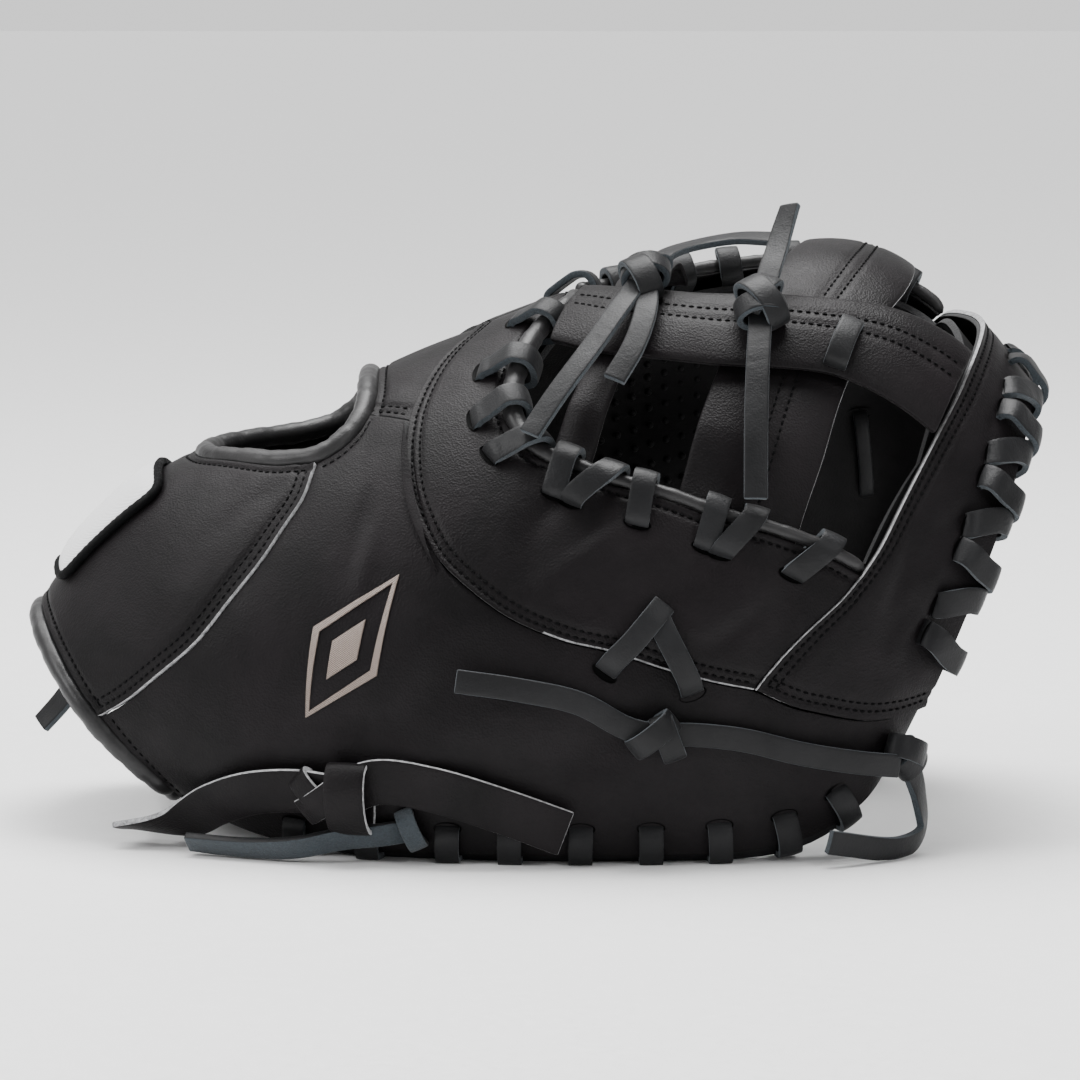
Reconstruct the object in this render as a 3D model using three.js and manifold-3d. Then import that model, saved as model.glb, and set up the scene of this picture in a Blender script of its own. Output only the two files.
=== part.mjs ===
// A first baseman mitt, lying pocket down on its rim. Millimetres, +Z up, +X from wrist to tip,
// thumb side towards -Y. The origin is on the table under the middle of the mitt.
//
// The leather follows one shell: an arch from the thumb rim (around = 0) over the crown
// (around = 0.5) to the finger rim (around = 1), for each station along the hand (along = 0 at
// the wrist, 1 at the tip). The palm is a second arch inside it, and the hand goes between them.
import * as THREE from "three";
import { mergeVertices } from "three/addons/utils/BufferGeometryUtils.js";
import Module from "manifold-3d";

const wasm = await Module();
wasm.setup();

// Driving dimensions
const LENGTH = 300;
const HEIGHT = 180;
const HALF_WIDTH = 90;
const LEATHER = 2.4;
const PALM_LEATHER = 2.2;
const LACE_WIDTH = 7;
const LACE_THICK = 2;
const BINDING_RADIUS = 3.1;
const WELT_RADIUS = 1.9;
const POST_THICK = 5;
const POST_ARCH = 2;
const CROSSBAR_THICK = 3;
const FINGER_RIDGE = 5;
const STRAP_WIDTH = 14;
const STRAP_THICK = 1.8;
const PATCH_THICK = 2.6;

// Gaps: between a lace and its leather, between two panels, and what facets need on tight curves
const SEAT_GAP = 0.35;
const SEAM_GAP = 0.3;
const FACET_GAP = 0.6;

// How far a stitch stays off the palm and off a welt, whose facets cut across its path
const PALM_CLEARANCE = 1.6;
const WELT_CLEARANCE = 1.95;

// How far each overlaid panel stands above the panels that it is sewn to
const STRAP_STEP = 1;
const WEB_PANEL_STEP = 1;
const TIP_STEP = 2;

// How far a stitch of lace lies on the leather, and how far a loose end may stand off it
const STITCH_REACH = 8;
const LOOSE_REACH = 10;

const LAYER_GAP = LEATHER + LACE_THICK + 2 * SEAT_GAP + FACET_GAP;
const LACE_OUT = SEAT_GAP + LACE_THICK / 2;
const LACE_DEPTH = (LEATHER + LAYER_GAP) / 2;

// Stations of the shell. x and bow, the bend of the section in its own plane, are shares of
// LENGTH, z is a share of HEIGHT, y and the bulges are shares of HALF_WIDTH.
const SECTIONS = table(
  [
    "at", "baseX", "baseZ", "nearY", "crownX", "crownZ", "crownY", "farY", "nearBulge", "farBulge",
    "bow",
  ],
  [
    [0.00, -0.356, 0.061, -0.50, -0.516, 0.379, 0.02, 0.56, 0.067, 0.067, 0.010],
    [0.10, -0.281, 0.022, -0.64, -0.460, 0.497, 0.02, 0.67, 0.078, 0.078, 0.006],
    [0.20, -0.206, 0.011, -0.76, -0.390, 0.598, 0.03, 0.78, 0.089, 0.089, 0.003],
    [0.32, -0.120, 0.010, -0.84, -0.276, 0.691, 0.06, 0.88, 0.100, 0.100, 0],
    [0.45, -0.015, 0.010, -0.89, -0.125, 0.804, 0.09, 0.96, 0.111, 0.111, 0],
    [0.60, 0.108, 0.010, -0.89, 0.063, 0.919, 0.16, 1.02, 0.111, 0.111, 0],
    [0.72, 0.202, 0.016, -0.86, 0.204, 0.981, 0.22, 1.04, 0.100, 0.100, 0],
    [0.82, 0.270, 0.036, -0.81, 0.325, 0.991, 0.27, 1.02, 0.078, 0.089, 0],
    [0.91, 0.325, 0.088, -0.73, 0.419, 0.919, 0.24, 0.96, 0.056, 0.067, 0],
    [1.00, 0.360, 0.165, -0.62, 0.508, 0.743, 0.16, 0.82, 0.022, 0.033, -0.007],
  ],
);
const ARCH_POWER = 0.9;

// How far the palm lies inside the shell: drop lowers its crown, a share of HEIGHT, the stalls
// for thumb and fingers push its walls in, shares of HALF_WIDTH, and each stall ends at the
// height share given, where the web begins.
const PALM = table(
  ["at", "drop", "nearStall", "farStall", "nearEnd", "farEnd"],
  [
    [0.00, 0.34, 0.20, 0.22, 1.00, 1.00],
    [0.15, 0.33, 0.26, 0.28, 1.00, 1.00],
    [0.30, 0.27, 0.30, 0.32, 1.00, 1.00],
    [0.42, 0.14, 0.30, 0.34, 0.95, 1.00],
    [0.52, 0.03, 0.27, 0.33, 0.80, 0.96],
    [0.65, 0.00, 0.22, 0.30, 0.58, 0.92],
    [0.80, 0.00, 0.14, 0.22, 0.46, 0.88],
    [0.92, 0.00, 0.02, 0.04, 0.40, 0.80],
    [1.00, 0.00, 0.00, 0.00, 0.40, 0.80],
  ],
);
const STALL_FROM = 0.12;

// Edges of the leather pieces, as shares [along, around]
const STRAP_EDGE = [
  [0.000, 0.160], [0.050, 0.168], [0.105, 0.182], [0.175, 0.200], [0.225, 0.225], [0.275, 0.255],
  [0.305, 0.280], [0.333, 0.307], [0.352, 0.344],
];
const OPENING_WRIST_EDGE = [
  [0.352, 0.344], [0.317, 0.362], [0.280, 0.400], [0.246, 0.450], [0.235, 0.500],
];
const OPENING_THUMB_EDGE = [[0.352, 0.344], [0.372, 0.348], [0.392, 0.362], [0.404, 0.382]];
const OPENING_HAND_EDGE = [[0.404, 0.382], [0.411, 0.410], [0.414, 0.450], [0.415, 0.500]];
const SHORT_SEAM = [[0.404, 0.382], [0.435, 0.350]];
const THUMB_SEAM_UPPER = [
  [0.500, 0.500], [0.490, 0.470], [0.468, 0.430], [0.448, 0.385], [0.435, 0.350],
];
const THUMB_SEAM = [
  [0.435, 0.350], [0.427, 0.315], [0.422, 0.273], [0.425, 0.238], [0.435, 0.205], [0.458, 0.175],
  [0.487, 0.150], [0.532, 0.128], [0.578, 0.115], [0.628, 0.100], [0.682, 0.088], [0.730, 0.080],
];
const THUMB_WELT = [
  [0.580, 0.500], [0.570, 0.465], [0.556, 0.440], [0.538, 0.410], [0.522, 0.367], [0.512, 0.325],
  [0.517, 0.292], [0.530, 0.268], [0.553, 0.250], [0.593, 0.226], [0.650, 0.202], [0.700, 0.182],
  [0.743, 0.170], [0.790, 0.156], [0.848, 0.138],
];
const FINGER_SEAM_UPPER = [[0.500, 0.500], [0.480, 0.560], [0.458, 0.610], [0.445, 0.650]];
const FINGER_SEAM = [
  [0.445, 0.650], [0.452, 0.690], [0.480, 0.720], [0.540, 0.738], [0.620, 0.745], [0.720, 0.750],
  [0.820, 0.752], [0.905, 0.752],
];
const FINGER_SHORT_SEAM = [[0.404, 0.618], [0.445, 0.650]];
const FINGER_WELT = [
  [0.580, 0.500], [0.578, 0.525], [0.582, 0.550], [0.600, 0.575], [0.640, 0.595], [0.700, 0.607],
  [0.780, 0.615], [0.860, 0.618], [0.925, 0.615],
];
const WEB_CREST = [[0.500, 0.500], [0.540, 0.500], [0.580, 0.500]];
const TIP_TO_THUMB_WEB = [
  [0.730, 0.080], [0.758, 0.095], [0.787, 0.108], [0.825, 0.124], [0.848, 0.138],
];
const TIP_TO_HOLE = [
  [0.848, 0.138], [0.866, 0.155], [0.885, 0.185], [0.907, 0.230], [0.927, 0.290], [0.938, 0.350],
  [0.946, 0.425], [0.948, 0.500], [0.940, 0.560], [0.925, 0.615],
];
const TIP_TO_FINGER_WEB = [[0.925, 0.615], [0.912, 0.680], [0.905, 0.752]];
const TIP_TO_FINGER = [[0.905, 0.752], [0.905, 0.830], [0.905, 0.910], [0.905, 1.000]];
const TIP_TO_THUMB = [[0.730, 0.080], [0.775, 0.068], [0.820, 0.060], [0.888, 0.048], [1.000, 0.036]];

// The web's post runs from the crotch to the tip between these two edges
const POST_UPPER_EDGE = [
  [0.590, 0.455], [0.630, 0.415], [0.683, 0.380], [0.748, 0.360], [0.800, 0.350], [0.860, 0.350],
  [0.900, 0.352], [0.934, 0.355],
];
const POST_LOWER_EDGE = [
  [0.556, 0.376], [0.586, 0.348], [0.633, 0.322], [0.688, 0.300], [0.748, 0.286], [0.800, 0.276],
  [0.858, 0.260], [0.908, 0.246],
];

// Crossbars under the post, from the thumb welt to the finger welt
const SMALL_BAR_WRIST_EDGE = [
  [0.552, 0.287], [0.572, 0.325], [0.594, 0.380], [0.608, 0.460], [0.616, 0.530], [0.622, 0.556],
];
const SMALL_BAR_TIP_EDGE = [
  [0.584, 0.263], [0.608, 0.315], [0.634, 0.380], [0.658, 0.460], [0.671, 0.530], [0.676, 0.574],
];
const WIDE_BAR_WRIST_EDGE = [
  [0.662, 0.225], [0.678, 0.262], [0.696, 0.300], [0.722, 0.360], [0.758, 0.440], [0.783, 0.520],
  [0.795, 0.590],
];
const WIDE_BAR_TIP_EDGE = [
  [0.785, 0.185], [0.797, 0.215], [0.812, 0.262], [0.836, 0.320], [0.872, 0.400], [0.886, 0.500],
  [0.882, 0.588],
];

// The palm is a ring round the web's hole. Each row pairs a point of the hole's edge with a
// point of the outer edge, and gives the number of columns up to the next row.
const PALM_SPOKES = table(
  ["holeAlong", "holeAround", "outerAlong", "outerAround", "columns"],
  [
    [0.520, 0.367, 0.000, 0.330, 4],
    [0.514, 0.300, 0.000, 0.000, 10],
    [0.700, 0.178, 0.620, 0.000, 8],
    [0.862, 0.146, 1.000, 0.000, 3],
    [0.912, 0.230, 1.000, 0.200, 5],
    [0.946, 0.430, 1.000, 0.500, 5],
    [0.930, 0.600, 1.000, 0.800, 5],
    [0.860, 0.626, 1.000, 1.000, 9],
    [0.640, 0.604, 0.500, 1.000, 9],
    [0.580, 0.552, 0.000, 1.000, 6],
    [0.572, 0.500, 0.000, 0.620, 4],
    [0.542, 0.425, 0.000, 0.450, 3],
  ],
);

// The patch on the wrist strap lies between these two corners
const PATCH_CORNERS = [[0.045, 0.430], [0.200, 0.610]];

// Places of the lace stitches: shares along the edge that they go over
const THUMB_WEB_STITCHES = [0.13, 0.245, 0.33, 0.40, 0.475, 0.535, 0.60, 0.725, 0.775, 0.905];
const FINGER_WEB_STITCHES = [0.10, 0.24, 0.38, 0.50, 0.62, 0.74, 0.90];
const THUMB_RIM_STITCHES = [0.152, 0.250, 0.357, 0.432, 0.517, 0.603, 0.690, 0.787, 0.880];
const FINGER_RIM_STITCHES = [
  0.140, 0.215, 0.290, 0.365, 0.440, 0.515, 0.590, 0.665, 0.740, 0.815,
];
const TIP_STITCHES = [
  0.085, 0.125, 0.165, 0.205, 0.245, 0.290, 0.338, 0.392, 0.450, 0.515, 0.580, 0.645, 0.708, 0.768,
  0.826, 0.882,
];

// Loose ends of lace and strap. out leads off the leather, ahead to the tip and rise up, as
// shares of LOOSE_REACH.
const ROUTE_COLUMNS = ["along", "around", "out", "ahead", "rise"];
const HEEL_STRAP_WRIST_END = table(ROUTE_COLUMNS, [
  [0.255, 0.046, 0.47, 0, 0], [0.205, 0.048, 0.50, 0, 0.2], [0.150, 0.048, 0.70, 0, 0.3],
  [0.090, 0.034, 0.80, 0, 0.4], [0.030, 0.020, 0.90, 0, 0], [0.000, 0.012, 0.90, -1.4, -0.14],
]);
const HEEL_STRAP_TIP_END = table(ROUTE_COLUMNS, [
  [0.262, 0.048, 0.47, 0, 0], [0.310, 0.050, 0.50, 0, 0.2], [0.370, 0.044, 0.50, 0, 0.1],
  [0.440, 0.030, 0.50, 0, 0], [0.508, 0.020, 0.50, 0, -0.26],
]);
const HEEL_LACE = table(ROUTE_COLUMNS, [
  [0.330, 0.018, 0.17, 0, 0], [0.290, 0.017, 0.42, 0, 0], [0.240, 0.015, 0.66, 0, 0.10],
  [0.185, 0.014, 1.20, 0, 0.14],
  [0.130, 0.014, 1.50, 0, 0.24], [0.080, 0.014, 1.60, -0.6, 0.34],
]);
const THUMB_LACE_WRIST_END = table(ROUTE_COLUMNS, [
  [0.620, 0.064, 0.44, 0, 0], [0.588, 0.070, 0.40, 0, 0], [0.542, 0.088, 0.38, 0, 0],
  [0.485, 0.102, 0.50, 0, 0], [0.427, 0.115, 0.70, 0, 0],
]);
const THUMB_LACE_TIP_END = table(ROUTE_COLUMNS, [
  [0.630, 0.064, 0.44, 0, 0], [0.660, 0.062, 0.40, 0, 0], [0.715, 0.056, 0.38, 0, 0],
  [0.790, 0.044, 0.45, 0, 0], [0.865, 0.032, 0.65, 0, 0], [0.925, 0.020, 0.80, 0, 0],
]);
const TIP_LACE = table(ROUTE_COLUMNS, [
  [0.955, 0.016, 0.62, 0, 0], [0.975, 0.006, 0.90, 0, -0.8], [0.965, 0.001, 1.20, 0, -1.4],
  [0.930, 0.001, 1.70, -0.6, -1.16], [0.880, 0.001, 2.20, -1.8, -0.12],
]);
const CROSS_LACE_RISING = table(ROUTE_COLUMNS, [
  [0.572, 0.104, 0.26, 0, 0], [0.595, 0.116, 0.36, 0, 0], [0.618, 0.128, 0.36, 0, 0],
  [0.640, 0.140, 0.28, 0, 0],
]);
const CROSS_LACE_FALLING = table(ROUTE_COLUMNS, [
  [0.622, 0.136, 0.28, 0, 0], [0.635, 0.120, 0.34, 0, 0], [0.648, 0.102, 0.34, 0, 0],
  [0.661, 0.084, 0.28, 0, 0],
]);
const CROTCH_LACE_LONG_END = table(ROUTE_COLUMNS, [
  [0.640, 0.400, 0.95, 0, 0], [0.622, 0.368, 1.10, 0, 0], [0.592, 0.330, 1.10, 0, 0],
  [0.560, 0.298, 1.05, 0, 0], [0.532, 0.272, 0.90, 0, 0],
]);
const CROTCH_LACE_SHORT_END = table(ROUTE_COLUMNS, [
  [0.640, 0.400, 0.95, 0, 0], [0.640, 0.358, 1.00, 0, 0], [0.626, 0.322, 0.95, 0, 0],
  [0.606, 0.298, 0.85, 0, 0],
]);
const CROTCH_LACE_FAR_END = table(ROUTE_COLUMNS, [
  [0.640, 0.400, 0.95, 0, 0], [0.662, 0.440, 0.75, 0, 0], [0.690, 0.462, 0.55, 0, 0],
  [0.722, 0.462, 0.50, 0, 0], [0.752, 0.440, 0.55, 0, 0],
]);
const POST_LACE_LOW_END = table(ROUTE_COLUMNS, [
  [0.737, 0.332, 1.04, 0, 0], [0.733, 0.295, 1.10, 0, 0], [0.730, 0.262, 1.05, 0, 0],
  [0.728, 0.230, 1.00, 0, 0], [0.727, 0.190, 0.85, 0, 0],
]);
const POST_LACE_HIGH_END = table(ROUTE_COLUMNS, [
  [0.737, 0.332, 1.04, 0, 0], [0.745, 0.360, 1.15, 0, 0.1], [0.752, 0.380, 1.20, 0, 0.2],
  [0.758, 0.396, 1.20, 0, 0.5], [0.764, 0.408, 1.20, 0, 0.9],
]);
const POST_LOOP = table(ROUTE_COLUMNS, [
  [0.792, 0.262, 0.70, 0, 0], [0.800, 0.282, 0.80, 0, 0], [0.808, 0.300, 0.80, 0, 0],
  [0.815, 0.318, 0.76, 0, 0],
]);
const WRIST_LACE = table(ROUTE_COLUMNS, [
  [0.020, 0.240, -0.62, 0, 0], [0.000, 0.236, -0.90, -0.6, -0.2], [0.000, 0.230, -1.25, -1.4, -0.7],
  [0.000, 0.226, -1.35, -2.0, -1.2],
]);

const BLACK = 0x171516;
const LACE_BLACK = 0x2b2b2c;
const BINDING_BLACK = 0x2e2e2f;
const PALE_GREY = 0xdedede;

// Reads rows of numbers under named columns.
function table(columns, rows) {
  return rows.map((row) => Object.fromEntries(columns.map((name, i) => [name, row[i]])));
}

// Smooth value of one column at a station, by cubic pieces through the rows.
function columnAt(rows, name, at) {
  const last = rows.length - 1;
  const clamped = Math.min(Math.max(at, rows[0].at), rows[last].at);
  let i = 0;
  while (i < last - 1 && clamped > rows[i + 1].at) i += 1;
  const slope = (k) => {
    const before = rows[Math.max(k - 1, 0)];
    const after = rows[Math.min(k + 1, last)];
    return (after[name] - before[name]) / (after.at - before.at);
  };
  const step = rows[i + 1].at - rows[i].at;
  const t = (clamped - rows[i].at) / step;
  const t2 = t * t;
  const t3 = t2 * t;
  return (
    (2 * t3 - 3 * t2 + 1) * rows[i][name] + (t3 - 2 * t2 + t) * step * slope(i) +
    (3 * t2 - 2 * t3) * rows[i + 1][name] + (t3 - t2) * step * slope(i + 1)
  );
}

// A point of an arch at a station. drop lowers the crown, and stall pushes the walls in by an
// amount for each height share.
function archPoint(along, around, drop, stall) {
  const value = (name) => columnAt(SECTIONS, name, along);
  const near = around < 0.5;
  const angle = (near ? around : 1 - around) * Math.PI;
  const height = Math.sin(angle) ** ARCH_POWER;
  const inward = 1 - Math.max(Math.cos(angle), 0) ** ARCH_POWER;
  const wallY = (near ? value("nearY") : value("farY")) * HALF_WIDTH;
  const bulge = (near ? -value("nearBulge") : value("farBulge")) * HALF_WIDTH;
  const deltaX = (value("crownX") - value("baseX")) * LENGTH;
  const deltaZ = (value("crownZ") - value("baseZ")) * HEIGHT;
  const span = Math.hypot(deltaX, deltaZ);
  const risen = height * (1 - drop / span);
  const bowed = (value("bow") * LENGTH * Math.sin(Math.PI * height)) / span;
  const toCrown = inward * (value("crownY") * HALF_WIDTH - wallY);
  const pushed = near ? stall(height) : -stall(height);
  return new THREE.Vector3(
    value("baseX") * LENGTH + risen * deltaX - bowed * deltaZ,
    wallY + toCrown + bulge * Math.sin(Math.PI * height) + pushed,
    value("baseZ") * HEIGHT + risen * deltaZ + bowed * deltaX,
  );
}

const zero = () => 0;
const shellBase = (along, around) => archPoint(along, around, 0, zero);

// How thick a stall is at a height share: nothing at the rim and where it ends, most between.
function stallProfile(thickness, end) {
  return (height) => {
    const share = (height - STALL_FROM) / (end - STALL_FROM);
    return share > 0 && share < 1 ? thickness * Math.sin(Math.PI * share) ** 2 : 0;
  };
}

function palmBase(along, around) {
  const value = (name) => columnAt(PALM, name, along);
  const near = around < 0.5;
  const thickness = value(near ? "nearStall" : "farStall") * HALF_WIDTH;
  const stall = stallProfile(thickness, value(near ? "nearEnd" : "farEnd"));
  return archPoint(along, around, Math.max(value("drop"), 0) * HEIGHT, stall);
}

// Directions on a surface: forward to the tip, over to the finger side, and out of the leather.
function frameOf(surface, [along, around]) {
  const step = 0.004;
  const a0 = Math.max(along - step, 0);
  const a1 = Math.min(along + step, 1);
  const v0 = Math.max(around - step, 0);
  const v1 = Math.min(around + step, 1);
  const forward = surface(a1, around).sub(surface(a0, around)).normalize();
  const over = surface(along, v1).sub(surface(along, v0)).normalize();
  const out = forward.clone().cross(over).normalize();
  return { forward, over, out };
}

const shellFrame = (place) => frameOf(shellBase, place);

const onShell = (place, out) => shellBase(...place).addScaledVector(shellFrame(place).out, out);

// A point of the palm leather, which lies a layer gap inside the shell.
function onPalm(place, out) {
  const layer = palmBase(...place).addScaledVector(shellFrame(place).out, -LAYER_GAP);
  return layer.addScaledVector(frameOf(palmBase, place).out, out);
}

const lerp = ([a, v], [b, w], t) => [a + (b - a) * t, v + (w - v) * t];
const mirrored = (points) => points.map(([along, around]) => [along, 1 - around]);
const reversed = (points) => [...points].reverse();

// A smooth line through shares [along, around], by arc length from 0 to 1.
function line(points) {
  const vectors = points.map(([along, around]) => new THREE.Vector3(along, around, 0));
  const curve = new THREE.CatmullRomCurve3(vectors, false, "centripetal");
  return (t) => {
    const { x, y } = curve.getPointAt(Math.min(Math.max(t, 0), 1));
    return [x, y];
  };
}

// Lines one after another, each with its number of columns, so that corners fall on a column.
function chain(...parts) {
  const lines = parts.map(([points]) => line(points));
  const counts = parts.map(([, count]) => count);
  const total = counts.reduce((sum, count) => sum + count, 0);
  return (t) => {
    let rest = Math.min(Math.max(t, 0), 1) * total;
    let i = 0;
    while (i < counts.length - 1 && rest > counts[i]) {
      rest -= counts[i];
      i += 1;
    }
    return lines[i](rest / counts[i]);
  };
}

// A patch between four edges: bottom and top run along s, left and right along t.
function coons({ bottom, top, left, right }) {
  return (s, t) => {
    const ruled = lerp(bottom(s), top(s), t);
    const cross = lerp(left(t), right(t), s);
    const corners = lerp(lerp(bottom(0), bottom(1), s), lerp(top(0), top(1), s), t);
    return [ruled[0] + cross[0] - corners[0], ruled[1] + cross[1] - corners[1]];
  };
}

// A closed geometry from vertices and triangles, turned so that its faces point out.
function closedGeometry(vertices, triangles) {
  let volume = 0;
  for (const [a, b, c] of triangles) {
    volume += vertices[a].dot(vertices[b].clone().cross(vertices[c]));
  }
  const geometry = new THREE.BufferGeometry().setFromPoints(vertices);
  geometry.setIndex(triangles.flatMap(([a, b, c]) => (volume < 0 ? [a, c, b] : [a, b, c])));
  return geometry;
}

// A wall between an outer and an inner surface over a grid of s and t, closed round its edges.
// A ring joins its last column to its first. Each face is split along its shorter diagonal.
function wall(columns, rows, outerAt, innerAt, ring = false) {
  const wide = ring ? columns : columns + 1;
  const tall = rows + 1;
  const vertices = [];
  for (const at of [outerAt, innerAt]) {
    for (let i = 0; i < wide; i += 1) {
      for (let j = 0; j < tall; j += 1) vertices.push(at(i / columns, j / rows));
    }
  }
  const id = (i, j, layer) => layer * wide * tall + (i % wide) * tall + j;
  const triangles = [];
  const quad = (a, b, c, d, alternate = false) => {
    if (alternate) triangles.push([b, c, d], [b, d, a]);
    else triangles.push([a, b, c], [a, c, d]);
  };
  const apart = (a, b) => vertices[a].distanceTo(vertices[b]);
  for (let i = 0; i < columns; i += 1) {
    for (let j = 0; j < rows; j += 1) {
      const rising = apart(id(i, j, 0), id(i + 1, j + 1, 0));
      const shorter = apart(id(i + 1, j, 0), id(i, j + 1, 0)) < rising;
      quad(id(i, j, 0), id(i + 1, j, 0), id(i + 1, j + 1, 0), id(i, j + 1, 0), shorter);
      quad(id(i, j, 1), id(i, j + 1, 1), id(i + 1, j + 1, 1), id(i + 1, j, 1), shorter);
    }
    quad(id(i, 0, 0), id(i, 0, 1), id(i + 1, 0, 1), id(i + 1, 0, 0));
    quad(id(i, rows, 0), id(i + 1, rows, 0), id(i + 1, rows, 1), id(i, rows, 1));
  }
  for (let j = 0; j < rows && !ring; j += 1) {
    quad(id(0, j, 0), id(0, j + 1, 0), id(0, j + 1, 1), id(0, j, 1));
    quad(id(columns, j, 0), id(columns, j, 1), id(columns, j + 1, 1), id(columns, j + 1, 0));
  }
  return closedGeometry(vertices, triangles);
}

// A leather panel on the shell, held back from its edges by the seam gap.
function panel(map, columns, rows, outer, inner) {
  const apart = (a, b) => shellBase(...a).distanceTo(shellBase(...b));
  const inset = (share, length) => {
    const gap = Math.min(SEAM_GAP / length, 0.3);
    return gap + share * (1 - 2 * gap);
  };
  const place = (height) => (s, t) => {
    const across = inset(s, apart(map(0, t), map(1, t)));
    const up = inset(t, apart(map(s, 0), map(s, 1)));
    return onShell(map(across, up), height(s, t));
  };
  return wall(columns, rows, place(outer), place(inner));
}

// A bar with the given section, [across, up] points, along frames { at, across, up }.
function sweep(frames, section, closed = false) {
  const vertices = frames.flatMap(({ at, across, up }) =>
    section.map(([x, y]) => at.clone().addScaledVector(across, x).addScaledVector(up, y)),
  );
  const n = section.length;
  const id = (i, k) => (i % frames.length) * n + (k % n);
  const triangles = [];
  const spans = closed ? frames.length : frames.length - 1;
  for (let i = 0; i < spans; i += 1) {
    for (let k = 0; k < n; k += 1) {
      triangles.push([id(i, k), id(i, k + 1), id(i + 1, k + 1)]);
      triangles.push([id(i, k), id(i + 1, k + 1), id(i + 1, k)]);
    }
  }
  for (let k = 1; k < n - 1 && !closed; k += 1) {
    triangles.push([id(0, 0), id(0, k + 1), id(0, k)]);
    triangles.push([id(spans, 0), id(spans, k), id(spans, k + 1)]);
  }
  return closedGeometry(vertices, triangles);
}

const rectangle = (x0, x1, y0, y1) => [[x0, y0], [x1, y0], [x1, y1], [x0, y1]];
const thong = (width, thick) => rectangle(-width / 2, width / 2, -thick / 2, thick / 2);
const LACE_SECTION = thong(LACE_WIDTH, LACE_THICK);

function roundSection(radius, sides) {
  return Array.from({ length: sides }, (_, k) => {
    const angle = (2 * Math.PI * (k + 0.5)) / sides;
    return [radius * Math.cos(angle), radius * Math.sin(angle)];
  });
}

// The direction of travel at each point, from its neighbours.
function headings(points, closed = false) {
  const last = points.length - 1;
  return points.map((_, i) => {
    const before = points[closed ? (i + last) % (last + 1) : Math.max(i - 1, 0)];
    const after = points[closed ? (i + 1) % (last + 1) : Math.min(i + 1, last)];
    return after.clone().sub(before).normalize();
  });
}

// Frames along points, each with its thickness turned to the direction given for it.
function framesFacing(points, ups, closed = false) {
  return headings(points, closed).map((ahead, i) => {
    const across = ahead.clone().cross(ups[i]).normalize();
    return { at: points[i], across, up: across.clone().cross(ahead) };
  });
}

// Frames along points in one plane, with the width square to that plane.
function framesInPlane(points, across) {
  return headings(points).map((ahead, i) => {
    const up = across.clone().cross(ahead).normalize();
    return { at: points[i], across, up };
  });
}

function solid(geometry) {
  const bare = new THREE.BufferGeometry().setAttribute("position", geometry.getAttribute("position"));
  bare.setIndex(geometry.index);
  const merged = mergeVertices(bare, 1e-4);
  const vertProperties = merged.attributes.position.array;
  const triVerts = new Uint32Array(merged.index.array);
  return new wasm.Manifold(new wasm.Mesh({ numProp: 3, vertProperties, triVerts }));
}

function geometryOf(body) {
  const { vertProperties, triVerts } = body.getMesh();
  const geometry = new THREE.BufferGeometry();
  geometry.setAttribute("position", new THREE.BufferAttribute(vertProperties, 3));
  geometry.setIndex(new THREE.BufferAttribute(triVerts, 1));
  return geometry;
}

const fuse = (geometries) => {
  const bodies = geometries.map(solid);
  return geometryOf(bodies.reduce((whole, next) => whole.add(next)));
};

// Takes off what would reach below the table, so that laces rest on flats.
function flattened(geometry) {
  const depth = 4 * HEIGHT;
  const below = new THREE.BoxGeometry(4 * LENGTH, 8 * HALF_WIDTH, depth);
  below.translate(0, 0, -depth / 2);
  return geometryOf(solid(geometry).subtract(solid(below)));
}

// Panels

function thumbBack() {
  const map = coons({
    bottom: chain([[[0, 0], [0.3, 0]], 6], [[[0.3, 0], [0.38, 0]], 3], [[[0.38, 0], [0.41, 0]], 1],
      [[[0.41, 0], [0.8, 0]], 11], [[[0.8, 0], [1, 0]], 5]),
    top: chain([STRAP_EDGE, 6], [OPENING_THUMB_EDGE, 3], [SHORT_SEAM, 1], [THUMB_SEAM, 11],
      [TIP_TO_THUMB, 5]),
    left: line([[0, 0], [0, 0.16]]),
    right: line([[1, 0], [1, 0.036]]),
  });
  return panel(map, 26, 5, zero, () => -LEATHER);
}

function thumbWebPanel() {
  const map = coons({
    bottom: chain([THUMB_SEAM_UPPER, 4], [THUMB_SEAM, 11]),
    top: line(THUMB_WELT),
    left: line(WEB_CREST),
    right: line(TIP_TO_THUMB_WEB),
  });
  return panel(map, 15, 4, () => WEB_PANEL_STEP, () => -LEATHER);
}

function fingerWebPanel() {
  const map = coons({
    bottom: chain([FINGER_SEAM_UPPER, 4], [FINGER_SEAM, 10]),
    top: line(FINGER_WELT),
    left: line(WEB_CREST),
    right: line(reversed(TIP_TO_FINGER_WEB)),
  });
  return panel(map, 14, 4, () => WEB_PANEL_STEP, () => -LEATHER);
}

function tipPanel() {
  const map = coons({
    bottom: chain([TIP_TO_THUMB_WEB, 4], [TIP_TO_HOLE, 10], [TIP_TO_FINGER_WEB, 4],
      [TIP_TO_FINGER, 6]),
    top: chain([[[1, 0.036], [1, 0.17]], 4], [[[1, 0.17], [1, 0.64]], 10], [[[1, 0.64], [1, 0.78]], 4],
      [[[1, 0.78], [1, 1]], 6]),
    left: line(TIP_TO_THUMB),
    right: line([[0.905, 1], [1, 1]]),
  });
  return panel(map, 24, 3, () => TIP_STEP, () => -LEATHER / 2);
}

function wristStrap() {
  const map = coons({
    bottom: line([[0, 0.16], [0, 0.84]]),
    top: chain([OPENING_WRIST_EDGE, 6], [reversed(mirrored(OPENING_WRIST_EDGE)), 6]),
    left: line(STRAP_EDGE),
    right: line(mirrored(STRAP_EDGE)),
  });
  return panel(map, 12, 6, () => STRAP_STEP, () => -LEATHER);
}

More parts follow.
